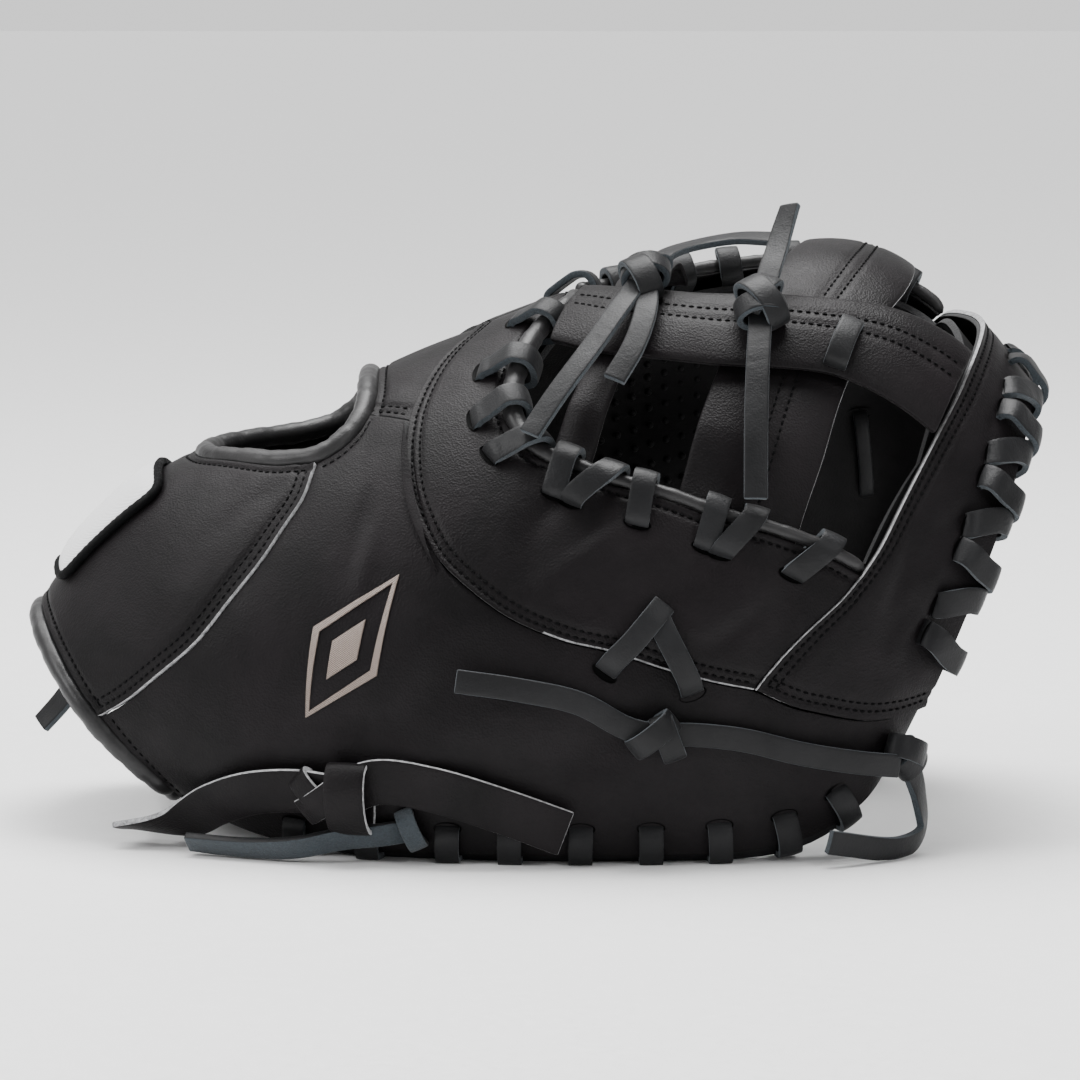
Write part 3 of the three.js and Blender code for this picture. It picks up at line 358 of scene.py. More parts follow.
THUMB_WELT = (
    (0.580, 0.500), (0.570, 0.465), (0.556, 0.440), (0.538, 0.410), (0.522, 0.367), (0.512, 0.325),
    (0.517, 0.292), (0.530, 0.268), (0.553, 0.250), (0.593, 0.226), (0.650, 0.202), (0.700, 0.182),
    (0.743, 0.170), (0.790, 0.156), (0.848, 0.138),
)
FINGER_SEAM_UPPER = ((0.500, 0.500), (0.480, 0.560), (0.458, 0.610), (0.445, 0.650))
FINGER_SEAM = (
    (0.445, 0.650), (0.452, 0.690), (0.480, 0.720), (0.540, 0.738), (0.620, 0.745), (0.720, 0.750),
    (0.820, 0.752), (0.905, 0.752),
)
FINGER_SHORT_SEAM = ((0.404, 0.618), (0.445, 0.650))
FINGER_WELT = (
    (0.580, 0.500), (0.578, 0.525), (0.582, 0.550), (0.600, 0.575), (0.640, 0.595), (0.700, 0.607),
    (0.780, 0.615), (0.860, 0.618), (0.925, 0.615),
)
WEB_CREST = ((0.500, 0.500), (0.540, 0.500), (0.580, 0.500))
TIP_TO_THUMB_WEB = ((0.730, 0.080), (0.758, 0.095), (0.787, 0.108), (0.825, 0.124), (0.848, 0.138))
TIP_TO_HOLE = (
    (0.848, 0.138), (0.866, 0.155), (0.885, 0.185), (0.907, 0.230), (0.927, 0.290), (0.938, 0.350),
    (0.946, 0.425), (0.948, 0.500), (0.940, 0.560), (0.925, 0.615),
)
TIP_TO_FINGER_WEB = ((0.925, 0.615), (0.912, 0.680), (0.905, 0.752))
TIP_TO_FINGER = ((0.905, 0.752), (0.905, 0.830), (0.905, 0.910), (0.905, 1.000))
TIP_TO_THUMB = ((0.730, 0.080), (0.775, 0.068), (0.820, 0.060), (0.888, 0.048), (1.000, 0.036))
TIP_INNER_EDGE = Edge((TIP_TO_THUMB_WEB, 4), (TIP_TO_HOLE, 10), (TIP_TO_FINGER_WEB, 4), (TIP_TO_FINGER, 6))
TIP_OUTER_EDGE = Edge(
    ([(1, 0.036), (1, 0.17)], 4), ([(1, 0.17), (1, 0.64)], 10), ([(1, 0.64), (1, 0.78)], 4),
    ([(1, 0.78), (1, 1)], 6),
)
POST_UPPER_EDGE = (
    (0.590, 0.455), (0.630, 0.415), (0.683, 0.380), (0.748, 0.360), (0.800, 0.350), (0.860, 0.350),
    (0.900, 0.352), (0.934, 0.355),
)
POST_LOWER_EDGE = (
    (0.556, 0.376), (0.586, 0.348), (0.633, 0.322), (0.688, 0.300), (0.748, 0.286), (0.800, 0.276),
    (0.858, 0.260), (0.908, 0.246),
)
SMALL_BAR_WRIST_EDGE = (
    (0.552, 0.287), (0.572, 0.325), (0.594, 0.380), (0.608, 0.460), (0.616, 0.530), (0.622, 0.556),
)
SMALL_BAR_TIP_EDGE = (
    (0.584, 0.263), (0.608, 0.315), (0.634, 0.380), (0.658, 0.460), (0.671, 0.530), (0.676, 0.574),
)
WIDE_BAR_WRIST_EDGE = (
    (0.662, 0.225), (0.678, 0.262), (0.696, 0.300), (0.722, 0.360), (0.758, 0.440), (0.783, 0.520),
    (0.795, 0.590),
)
WIDE_BAR_TIP_EDGE = (
    (0.785, 0.185), (0.797, 0.215), (0.812, 0.262), (0.836, 0.320), (0.872, 0.400), (0.886, 0.500),
    (0.882, 0.588),
)
# Spokes of the palm: (along, around) at the web's hole, (along, around) at the rim, columns to the next
PALM_SPOKES = (
    (0.520, 0.367, 0.000, 0.330, 4), (0.514, 0.300, 0.000, 0.000, 10), (0.700, 0.178, 0.620, 0.000, 8),
    (0.862, 0.146, 1.000, 0.000, 3), (0.912, 0.230, 1.000, 0.200, 5), (0.946, 0.430, 1.000, 0.500, 5),
    (0.930, 0.600, 1.000, 0.800, 5), (0.860, 0.626, 1.000, 1.000, 9), (0.640, 0.604, 0.500, 1.000, 9),
    (0.580, 0.552, 0.000, 1.000, 6), (0.572, 0.500, 0.000, 0.620, 4), (0.542, 0.425, 0.000, 0.450, 3),
)


# Finishes


class Shade:
    """Builds one material's nodes around a Principled shader."""

    def __init__(self, name: str) -> None:
        """Starts a material."""
        self.material = bpy.data.materials.new(name)
        self.material.use_nodes = True
        self.tree = self.material.node_tree
        self.shader = self.tree.nodes["Principled BSDF"]
        self.coords = self.tree.nodes.new("ShaderNodeTexCoord")

    def noise(
        self, scale: float, detail: float = 3.0, rough: float = 0.55, warp: float = 0.0
    ) -> bpy.types.NodeSocket:
        """Noise on the object's own coordinates.

        Args:
            scale: Its scale per metre.
            detail: How many finer layers it has.
            rough: How strong the finer layers are.
            warp: How far it is distorted.

        Returns:
            The value socket.
        """
        node = self.tree.nodes.new("ShaderNodeTexNoise")
        node.inputs["Scale"].default_value = scale
        node.inputs["Detail"].default_value = detail
        node.inputs["Roughness"].default_value = rough
        node.inputs["Distortion"].default_value = warp
        self.tree.links.new(self.coords.outputs["Object"], node.inputs["Vector"])
        return node.outputs["Fac"]

    def cells(self, scale: float, smooth: float = 0.4) -> bpy.types.NodeSocket:
        """Rounded cells on the object's own coordinates, such as leather's pebbles."""
        node = self.tree.nodes.new("ShaderNodeTexVoronoi")
        node.feature = "SMOOTH_F1"
        node.inputs["Scale"].default_value = scale
        node.inputs["Smoothness"].default_value = smooth
        self.tree.links.new(self.coords.outputs["Object"], node.inputs["Vector"])
        return node.outputs["Distance"]

    def ramp(
        self, source: bpy.types.NodeSocket, stops: Sequence[tuple[float, Sequence[float]]]
    ) -> bpy.types.NodeSocket:
        """Colours along a value.

        Args:
            source: The value.
            stops: Pairs of a position and a colour of three shares.

        Returns:
            The colour socket.
        """
        node = self.tree.nodes.new("ShaderNodeValToRGB")
        elements = node.color_ramp.elements
        while len(elements) < len(stops):
            elements.new(0.5)
        for element, (position, colour) in zip(elements, stops):
            element.position = position
            element.color = (*colour, 1.0)
        self.tree.links.new(source, node.inputs["Fac"])
        return node.outputs["Color"]

    def between(self, source: bpy.types.NodeSocket, low: float, high: float) -> bpy.types.NodeSocket:
        """A value spread from 0 to 1 onto low to high."""
        node = self.tree.nodes.new("ShaderNodeMapRange")
        node.inputs["From Min"].default_value = 0.3
        node.inputs["From Max"].default_value = 0.7
        node.inputs["To Min"].default_value = low
        node.inputs["To Max"].default_value = high
        self.tree.links.new(source, node.inputs["Value"])
        return node.outputs["Result"]

    def bump(self, sources: Sequence[tuple[bpy.types.NodeSocket, float]]) -> None:
        """Lays bumps over each other, each with its height in metres."""
        below = None
        for source, height in sources:
            node = self.tree.nodes.new("ShaderNodeBump")
            node.inputs["Strength"].default_value = 1.0
            node.inputs["Distance"].default_value = height
            self.tree.links.new(source, node.inputs["Height"])
            if below is not None:
                self.tree.links.new(below, node.inputs["Normal"])
            below = node.outputs["Normal"]
        self.tree.links.new(below, self.shader.inputs["Normal"])

    def plug(self, source: bpy.types.NodeSocket, name: str) -> None:
        """Leads a value into the shader."""
        self.tree.links.new(source, self.shader.inputs[name])


@dataclass(frozen=True)
class LeatherFinish:
    """Dyed leather: its two tones, its grain and its gloss."""

    name: str
    deep: tuple[float, float, float] = (0.0020, 0.0016, 0.0019)
    light: tuple[float, float, float] = (0.0074, 0.0058, 0.0067)
    pebble: float = 1500.0
    pebble_depth: float = 0.00011
    crease_depth: float = 0.00010
    roughness: tuple[float, float] = (0.44, 0.60)
    sheen: float = 0.015
    shine: float = 0.12

    def material(self) -> bpy.types.Material:
        """Makes the material."""
        shade = Shade(self.name)
        tone = shade.noise(26.0, 5.0, 0.62, 0.5)
        shade.plug(shade.ramp(tone, [(0.32, self.deep), (0.70, self.light)]), "Base Color")
        shade.plug(shade.between(shade.noise(60.0, 4.0), *self.roughness), "Roughness")
        shade.bump(
            [
                (shade.noise(34.0, 3.0, 0.5, 1.2), self.crease_depth * 3),
                (shade.noise(190.0, 4.0, 0.6, 0.9), self.crease_depth),
                (shade.cells(self.pebble), self.pebble_depth),
                (shade.noise(2600.0, 2.0), self.pebble_depth * 0.35),
            ]
        )
        shade.shader.inputs["Sheen Weight"].default_value = self.sheen
        shade.shader.inputs["Sheen Roughness"].default_value = 0.45
        shade.shader.inputs["Specular IOR Level"].default_value = self.shine
        return shade.material


@dataclass(frozen=True)
class CutEdgeFinish:
    """The raw cut side of leather, with its loose fibres."""

    name: str
    deep: tuple[float, float, float]
    light: tuple[float, float, float]
    fibre: float = 1500.0

    def material(self) -> bpy.types.Material:
        """Makes the material."""
        shade = Shade(self.name)
        fibre = shade.noise(self.fibre, 4.0, 0.75, 0.4)
        shade.plug(shade.ramp(fibre, [(0.28, self.deep), (0.66, self.light)]), "Base Color")
        shade.plug(shade.between(fibre, 0.8, 0.98), "Roughness")
        shade.bump([(shade.noise(700.0, 4.0, 0.7), 0.0004), (fibre, 0.0003)])
        shade.shader.inputs["Sheen Weight"].default_value = 0.1
        return shade.material


@dataclass(frozen=True)
class ThreadFinish:
    """Waxed or satin thread, with its twist."""

    name: str
    deep: tuple[float, float, float]
    light: tuple[float, float, float]
    gloss: tuple[float, float] = (0.35, 0.6)
    twist: float = 2200.0
    shine: float = 0.3

    def material(self) -> bpy.types.Material:
        """Makes the material."""
        shade = Shade(self.name)
        strand = shade.tree.nodes.new("ShaderNodeTexWave")
        strand.wave_type = "BANDS"
        strand.bands_direction = "DIAGONAL"
        strand.inputs["Scale"].default_value = self.twist
        strand.inputs["Distortion"].default_value = 1.5
        shade.tree.links.new(shade.coords.outputs["Object"], strand.inputs["Vector"])
        shade.plug(shade.ramp(strand.outputs["Fac"], [(0.2, self.deep), (0.8, self.light)]), "Base Color")
        shade.plug(shade.between(shade.noise(400.0), *self.gloss), "Roughness")
        shade.bump([(strand.outputs["Fac"], 0.00012)])
        shade.shader.inputs["Specular IOR Level"].default_value = self.shine
        return shade.material


@dataclass(frozen=True)
class RubberFinish:
    """Moulded rubber, plain or with a fine grain."""

    name: str
    deep: tuple[float, float, float]
    light: tuple[float, float, float]
    shine: float = 0.4

    def material(self) -> bpy.types.Material:
        """Makes the material."""
        shade = Shade(self.name)
        shade.plug(shade.ramp(shade.noise(120.0, 4.0), [(0.3, self.deep), (0.7, self.light)]), "Base Color")
        shade.plug(shade.between(shade.noise(300.0), 0.38, 0.55), "Roughness")
        shade.bump([(shade.noise(900.0, 3.0), 0.00006)])
        shade.shader.inputs["Specular IOR Level"].default_value = self.shine
        return shade.material


class Finish(Enum):
    """The mitt's finishes."""

    SHELL = LeatherFinish("shell_leather")
    WEB = LeatherFinish("web_leather", light=(0.0082, 0.0064, 0.0073), roughness=(0.42, 0.56))
    LINING = LeatherFinish(
        "pocket_leather", deep=(0.0025, 0.0024, 0.0026), light=(0.0060, 0.0056, 0.0060), roughness=(0.55, 0.7)
    )
    BINDING = LeatherFinish(
        "binding_leather", deep=(0.010, 0.0098, 0.0103), light=(0.022, 0.0212, 0.0218), pebble=1300.0,
        pebble_depth=0.00004, crease_depth=0.00012, roughness=(0.36, 0.48), sheen=0.04, shine=0.3,
    )
    LACE = LeatherFinish(
        "lace_leather", deep=(0.0036, 0.0037, 0.0042), light=(0.0098, 0.0100, 0.0110), pebble=1500.0,
        pebble_depth=0.00005, crease_depth=0.00016, roughness=(0.42, 0.55), sheen=0.03, shine=0.20,
    )
    LACE_EDGE = CutEdgeFinish("lace_cut_edge", (0.012, 0.016, 0.020), (0.040, 0.052, 0.062))
    DARK_EDGE = CutEdgeFinish("dark_cut_edge", (0.006, 0.006, 0.0065), (0.018, 0.018, 0.0195))
    PALE_EDGE = CutEdgeFinish("pale_cut_edge", (0.07, 0.07, 0.073), (0.48, 0.48, 0.49), 520.0)
    WORN_EDGE = CutEdgeFinish("worn_cut_edge", (0.004, 0.004, 0.0042), (0.34, 0.34, 0.35), 380.0)
    THREAD = ThreadFinish(
        "seam_thread", (0.0010, 0.0010, 0.0012), (0.0035, 0.0035, 0.004), (0.5, 0.7), shine=0.08
    )
    SATIN = ThreadFinish("satin_thread", (0.10, 0.075, 0.062), (0.33, 0.27, 0.235), (0.28, 0.45), 900.0)
    # Painted shadow inside the lace holes, laid as near-black ovals on the leather
    HOLE_SHADOW = RubberFinish("eyelet_shadow", (0.0008, 0.0008, 0.0008), (0.0015, 0.0015, 0.0015), 0.02)
    PATCH_EDGE = RubberFinish("patch_edge", (0.008, 0.008, 0.009), (0.018, 0.018, 0.02))
    PATCH_FIELD = ThreadFinish("patch_satin", (0.62, 0.62, 0.63), (0.86, 0.86, 0.86), (0.4, 0.6), 700.0)


class Wardrobe:
    """Makes each finish's material once."""

    made: dict[Finish, bpy.types.Material] = {}

    @classmethod
    def get(cls, finish: Finish) -> bpy.types.Material:
        """The finish's material."""
        if finish not in cls.made:
            cls.made[finish] = finish.value.material()
        return cls.made[finish]


# Mesh helpers


def to_metres(points: Points) -> Points:
    """Points of the shell's own frame, in metres in the mitt's frame."""
    return (points + CENTRING) * MM


def grid_into(bm: bmesh.types.BMesh, points: Points, material: Callable[[int, int], int] | int = 0) -> None:
    """Adds a sheet to a mesh.

    Args:
        bm: The mesh.
        points: Points in metres, columns by rows.
        material: The material's index, or what gives it for a column and row.
    """
    columns, rows = points.shape[0] - 1, points.shape[1] - 1
    made = bmesh.ops.create_grid(bm, x_segments=columns, y_segments=rows, size=0.5)["verts"]
    index = {}
    for vert in made:
        i, j = round((vert.co.x + 0.5) * columns), round((vert.co.y + 0.5) * rows)
        index[vert] = (i, j)
    for vert, (i, j) in index.items():
        vert.co = points[i, j]
    for face in {face for vert in made for face in vert.link_faces}:
        face.smooth = True
        corner = min(index[vert] for vert in face.verts)
        face.material_index = material(*corner) if callable(material) else material


def face_out(bm: bmesh.types.BMesh, out: Sequence[float]) -> None:
    """Turns a sheet over if its largest face looks away from a direction."""
    bm.normal_update()
    largest = max(bm.faces, key=lambda face: face.calc_area())
    if largest.normal.dot(Vector(out)) < 0:
        bmesh.ops.reverse_faces(bm, faces=bm.faces)


def finish_piece(
    bm: bmesh.types.BMesh, name: str, finishes: Sequence[Finish], nodes: Sequence[str] = (),
) -> bpy.types.Object:
    """Makes a piece of a mesh, which rides with the mitt.

    Args:
        bm: The mesh, in metres. It is freed.
        name: The piece's name.
        finishes: Its finishes, in the order of its material indices.
        nodes: The solids that it stands for.

    Returns:
        The piece.
    """
    mesh = bpy.data.meshes.new(name)
    bm.to_mesh(mesh)
    bm.free()
    for finish in finishes:
        mesh.materials.append(Wardrobe.get(finish))
    piece = bpy.data.objects.new(name, mesh)
    bpy.context.scene.collection.objects.link(piece)
    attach(piece, "root")
    if nodes:
        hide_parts(*nodes)
    log.info("%s: %d faces", name, len(mesh.polygons))
    return piece


def thicken(
    piece: bpy.types.Object, thick: float, offset: float, round_by: float, segments: int = 2
) -> None:
    """Gives a sheet its thickness and rounds its cut edges.

    Args:
        piece: The sheet.
        thick: Its thickness in millimetres.
        offset: Which side grows, from -1 to 1.
        round_by: The width of the rounded edge in millimetres.
        segments: Faces across the rounded edge.
    """
    wall = piece.modifiers.new("wall", "SOLIDIFY")
    wall.thickness = thick * MM
    wall.offset = offset
    wall.material_offset_rim = 1
    rounding = piece.modifiers.new("rounding", "BEVEL")
    rounding.width = round_by * MM
    rounding.segments = segments
    rounding.limit_method = "ANGLE"
    rounding.angle_limit = math.radians(50)


def tube_into(
    bm: bmesh.types.BMesh, path: Points, ups: Points, radius: Points | float, ring: bool, sides: int
) -> None:
    """Adds a roll of leather to a mesh.

    Args:
        bm: The mesh.
        path: Its middle line in metres.
        ups: Directions away from the leather.
        radius: Its radius in metres, for each point or for all.
        ring: Whether the path closes.
        sides: Faces round it.
    """
    count = len(path)
    ahead = unit(np.gradient(path, axis=0))
    if ring:
        ahead = unit(np.roll(path, -1, axis=0) - np.roll(path, 1, axis=0))
    across = unit(np.cross(ahead, ups))
    upward = np.cross(across, ahead)
    turn = np.linspace(0, 2 * math.pi, sides + 1)
    reach = np.broadcast_to(np.asarray(radius, float), (count,))[:, None, None]
    turn = turn[None, :, None]
    points = path[:, None] + reach * (np.cos(turn) * across[:, None] + np.sin(turn) * upward[:, None])
    if ring:
        points = np.concatenate([points, points[:1]])
    piece = bmesh.new()
    grid_into(piece, points)
    bmesh.ops.remove_doubles(piece, verts=piece.verts, dist=1e-7)
    if not ring:
        bmesh.ops.holes_fill(piece, edges=[e for e in piece.edges if e.is_boundary], sides=0)
    bmesh.ops.recalc_face_normals(piece, faces=piece.faces)
    join_into(bm, piece)


def join_into(bm: bmesh.types.BMesh, part: bmesh.types.BMesh) -> None:
    """Adds one mesh to another and frees it."""
    mesh = bpy.data.meshes.new("part")
    part.to_mesh(mesh)
    part.free()
    bm.from_mesh(mesh)
    bpy.data.meshes.remove(mesh)


# Seams


@dataclass
class SeamLine:
    """A row of stitches on the leather: points in metres and directions out of it."""

    points: Points
    ups: Points


@dataclass
class Stitching:
    """All rows of thread on the mitt, as one piece."""

    pitch: float = 2.5
    long: float = 1.8
    thick: float = 0.82
    proud: float = 0.08
    lines: list[SeamLine] = field(default_factory=list)

    def build(self, name: str) -> bpy.types.Object:
        """Makes each row's stitches, each one a short rounded length of thread."""
        bm = bmesh.new()
        for line in self.lines:
            lengths = lengths_along(line.points)
            count = int(lengths[-1] / (self.pitch * MM))
            if count < 2:
                continue
            row = bmesh.new()
            at = (np.arange(count) + 0.5) * lengths[-1] / count
            middles = read_along(line.points, lengths, at)
            ahead = unit(np.gradient(middles, axis=0))
            side = unit(np.cross(ahead, read_along(line.ups, lengths, at)))
            out = np.cross(side, ahead)
            size = Matrix.Diagonal((self.long * MM / 2, self.thick * MM / 2, self.thick * MM / 2, 1))
            for k in range(count):
                turn = Matrix((ahead[k], side[k], out[k])).transposed().to_4x4()
                place = Matrix.Translation(middles[k] + out[k] * self.proud * MM) @ turn @ size
                bmesh.ops.create_uvsphere(row, u_segments=6, v_segments=4, radius=1, matrix=place)
            for face in row.faces:
                face.smooth = True
            join_into(bm, row)
        return finish_piece(bm, name, [Finish.THREAD])


# Leather panels


class Side(Enum):
    """The four sides of a panel's grid."""

    BOTTOM = "bottom"
    TOP = "top"
    LEFT = "left"
    RIGHT = "right"


@dataclass(frozen=True)
class Dent:
    """A fold or dent in the leather, at a place. Its turn is in degrees, its sizes in millimetres."""

    along: float
    around: float
    turn: float
    long: float
    wide: float
    depth: float


DENTS = (
    Dent(0.400, 0.352, 66, 12, 2.4, -0.5),
    Dent(0.412, 0.325, 58, 13, 2.4, -0.5),
    Dent(0.395, 0.300, 50, 16, 3.0, 0.45),
    Dent(0.380, 0.262, 64, 24, 3.4, -0.7),
    Dent(0.372, 0.225, 58, 22, 4.0, 0.7),
    Dent(0.900, 0.150, 80, 16, 2.6, -1.2),
    Dent(0.918, 0.118, 66, 18, 2.8, -1.3),
    Dent(0.936, 0.098, 58, 16, 2.8, -1.0),
    Dent(0.545, 0.225, 40, 22, 3.6, -0.6),
    Dent(0.575, 0.195, 30, 22, 3.6, -0.6),
    Dent(0.640, 0.140, 25, 20, 3.4, -0.7),
    Dent(0.700, 0.112, 35, 18, 3.2, -0.6),
    Dent(0.300, 0.075, 20, 34, 9.0, -1.6),
    Dent(0.360, 0.060, 40, 28, 7.0, 1.2),
    Dent(0.300, 0.330, 20, 26, 6.0, -0.8),
    Dent(0.430, 0.120, 35, 40, 12.0, -1.6),
    Dent(0.500, 0.085, 10, 46, 11.0, 1.0),
    Dent(0.560, 0.060, 20, 40, 8.0, -0.9),
    Dent(0.250, 0.110, -25, 40, 14.0, -1.2),
    Dent(0.160, 0.090, 15, 36, 10.0, 0.9),
    Dent(0.520, 0.200, 60, 26, 7.0, -0.9),
    Dent(0.560, 0.180, 30, 30, 6.0, 0.9),
    Dent(0.640, 0.155, 15, 30, 5.0, -0.9),
    Dent(0.700, 0.128, 30, 26, 5.0, 0.7),
    Dent(0.770, 0.122, 60, 22, 5.0, -0.8),
    Dent(0.895, 0.115, 75, 20, 5.5, -1.9),
    Dent(0.930, 0.135, 60, 16, 4.5, 1.4),
    Dent(0.955, 0.090, 50, 20, 6.0, -1.3),
    Dent(0.960, 0.200, 60, 14, 4.0, -1.0),
    Dent(0.965, 0.300, 80, 12, 4.0, -0.8),
    Dent(0.120, 0.330, 10, 40, 16.0, -0.8),
    Dent(0.200, 0.640, 15, 44, 12.0, -0.8),
    Dent(0.330, 0.800, 30, 50, 12.0, -1.4),
    Dent(0.450, 0.860, 20, 60, 14.0, 1.2),
    Dent(0.640, 0.850, 12, 60, 12.0, -1.2),
    Dent(0.560, 0.690, 35, 34, 8.0, -1.1),
    Dent(0.760, 0.690, 12, 40, 8.0, 0.9),
    Dent(0.950, 0.820, 70, 24, 7.0, -1.3),
)


def dented(place: Places, points: Points) -> Points:
    """How far folds and dents raise or sink the leather at each place, in millimetres."""
    raised = np.zeros(points.shape[:-1])
    for dent in DENTS:
        centre = np.array([[dent.along, dent.around]])
        forward, over, _ = Hide.axes(centre, Hide.shell)
        offset = points - Hide.shell(centre)[0]
        ahead, across = offset @ forward[0], offset @ over[0]
        turn = math.radians(dent.turn)
        u = ahead * math.cos(turn) + across * math.sin(turn)
        v = -ahead * math.sin(turn) + across * math.cos(turn)
        near = np.exp(-((u / dent.long) ** 2) * 2 - ((v / dent.wide) ** 2) * 1.5)
        raised += dent.depth * near * np.exp(-(np.linalg.norm(offset, axis=-1) / 60) ** 4)
    return raised


@dataclass
class Panel:
    """A piece of leather between four edges on the shell."""

    name: str
    bottom: Edge
    top: Edge
    left: Edge
    right: Edge
    columns: int
    rows: int
    step: float = 0.0
    wall: float = LEATHER
    solid: bool = True
    seams: dict[Side, tuple[float, ...]] = field(default_factory=dict)
    part_seams: tuple[tuple[Side, float, float, float], ...] = ()
    pale: dict[Side, tuple[float, float]] = field(default_factory=dict)
    worn: bool = False
    pillow: float = 0.5
    finish: Finish = Finish.SHELL
    extra: Callable[[Points, Points], Points] | None = None

    def place(self, s: Points, t: Points) -> Places:
        """The places at shares of the grid, drawn between the four edges."""
        s_, t_ = s[..., None], t[..., None]
        ruled = self.bottom(s) * (1 - t_) + self.top(s) * t_
        cross = self.left(t) * (1 - s_) + self.right(t) * s_
        ends = [self.bottom(np.array([0.0]))[0], self.bottom(np.array([1.0]))[0]]
        tops = [self.top(np.array([0.0]))[0], self.top(np.array([1.0]))[0]]
        corners = (ends[0] * (1 - s_) + ends[1] * s_) * (1 - t_) + (tops[0] * (1 - s_) + tops[1] * s_) * t_
        return ruled + cross - corners

    def survey(self) -> tuple[Places, dict[Side, Points]]:
        """The grid's places, and how far each lies from each side in millimetres."""
        s = np.linspace(0, 1, self.columns + 1)
        even = np.linspace(0, 1, self.rows + 1)
        t = even - 0.10 * np.sin(2 * math.pi * even)
        s, t = np.meshgrid(s, t, indexing="ij")
        length = self.across(self.place(s * 0, t), self.place(s * 0 + 1, t))
        height = self.across(self.place(s, t * 0), self.place(s, t * 0 + 1))
        gap_s, gap_t = np.minimum(SEAM_GAP / length, 0.3), np.minimum(SEAM_GAP / height, 0.3)
        place = self.place(gap_s + s * (1 - 2 * gap_s), gap_t + t * (1 - 2 * gap_t))
        points = Hide.shell(place)
        up, on = lengths_along(points, 1), lengths_along(points, 0)
        away = {Side.BOTTOM: up, Side.TOP: up[:, -1:] - up, Side.LEFT: on, Side.RIGHT: on[-1:] - on}
        return place, away

    @staticmethod
    def across(start: Places, end: Places) -> Points:
        """How far apart places on the shell are."""
        return np.linalg.norm(Hide.shell(start) - Hide.shell(end), axis=-1)

    @staticmethod
    def distance(points: Points, line: Points) -> Points:
        """How far each point of the grid lies from the nearest point of a line."""
        return np.array([np.linalg.norm(column[:, None] - line, axis=-1).min(axis=1) for column in points])

    def relief(self, place: Places, away: dict[Side, Points]) -> Points:
        """How far the leather stands off the shell: its padding, seams, tucks and dents."""
        nearest = np.minimum.reduce(list(away.values()))
        raised = self.step + self.pillow * (1 - np.exp(-nearest / PADDING_REACH))
        share = np.linspace(0, 1, self.columns + 1)[:, None]
        whole = [(side, distance, -1.0, 2.0) for side, rows in self.seams.items() for distance in rows]
        for side, distance, low, high in (*whole, *self.part_seams):
            groove = np.exp(-(((away[side] - distance) / GROOVE_WIDTH) ** 2))
            raised = raised - GROOVE_DEPTH * groove * ((share > low) & (share < high))
        points = Hide.shell(place)
        sides = (points[:, 0], points[:, -1], points[0], points[-1])
        square = np.minimum.reduce([self.distance(points, line) for line in sides] + [nearest])
        raised = raised + dented(place, points) * np.clip((square - DENTS_FROM) / DENTS_FADE, 0, 1)
        return raised + self.extra(place, nearest) if self.extra else raised

    def build(self, stitching: Stitching) -> bpy.types.Object:
        """Makes the panel and lays its rows of stitches."""
        place, away = self.survey()
        outer = Hide.on_shell(place, self.relief(place, away))
        points = to_metres(outer)
        ups = Hide.axes(place, Hide.shell)[2]
        bm = bmesh.new()
        grid_into(bm, points, self.edge_material)
        face_out(bm, ups[self.columns // 2, self.rows // 2])
        piece = finish_piece(
            bm, self.name + "_leather",
            [self.finish, Finish.DARK_EDGE, self.finish, Finish.WORN_EDGE if self.worn else Finish.PALE_EDGE],
            [self.name] if self.solid else [],
        )
        thicken(piece, self.wall, -1, 0.45)
        whole = [(side, distance, 0.0, 1.0) for side, rows in self.seams.items() for distance in rows]
        for side, distance, low, high in (*whole, *self.part_seams):
            stitching.lines.append(self.seam_line(side, distance, points, ups, away, (low, high)))
        return piece

    def edge_material(self, column: int, row: int) -> int:
        """Which finish a face has: beside a pale cut edge it is the third, and where worn the fourth."""
        share, height = (column + 0.5) / self.columns, (row + 0.5) / self.rows
        beside = {
            Side.BOTTOM: (row == 0, share), Side.TOP: (row == self.rows - 1, share),
            Side.LEFT: (column == 0, height), Side.RIGHT: (column == self.columns - 1, height),
        }
        for side, (low, high) in self.pale.items():
            is_beside, at = beside[side]
            if is_beside and low <= at <= high:
                return 3 if self.worn else 2
        return 0

    def seam_line(
        self, side: Side, distance: float, points: Points, ups: Points, away: dict[Side, Points],
        part: tuple[float, float],
    ) -> SeamLine:
        """The line at a distance in from a side.

        Args:
            side: The side.
            distance: How far in, in millimetres.
            points: The panel's points in metres.
            ups: Directions out of it.
            away: Distances from each side.
            part: The shares of the side that the line starts and ends at.

        Returns:
            The line, on the leather.
        """
        upright = side in (Side.BOTTOM, Side.TOP)
        far = away[side] if upright else away[side].T
        grid = points if upright else points.transpose(1, 0, 2)
        normals = ups if upright else ups.transpose(1, 0, 2)
        line, out = [], []
        others = [Side.LEFT, Side.RIGHT] if upright else [Side.BOTTOM, Side.TOP]
        clear = np.minimum(*[away[o] if upright else away[o].T for o in others])
        for k in range(int(part[0] * (len(grid) - 1)), int(part[1] * (len(grid) - 1)) + 1):
            order = np.argsort(far[k])
            if far[k].max() < distance or np.interp(distance, far[k][order], clear[k][order]) < 1.5:
                continue
            line.append([np.interp(distance, far[k][order], grid[k, order, c]) for c in range(3)])
            out.append([np.interp(distance, far[k][order], normals[k, order, c]) for c in range(3)])
        return SeamLine(np.array(line), unit(np.array(out)))


# How far rows of stitches lie from an edge
DOUBLE = (2.1, 4.6)
SINGLE = (2.3,)


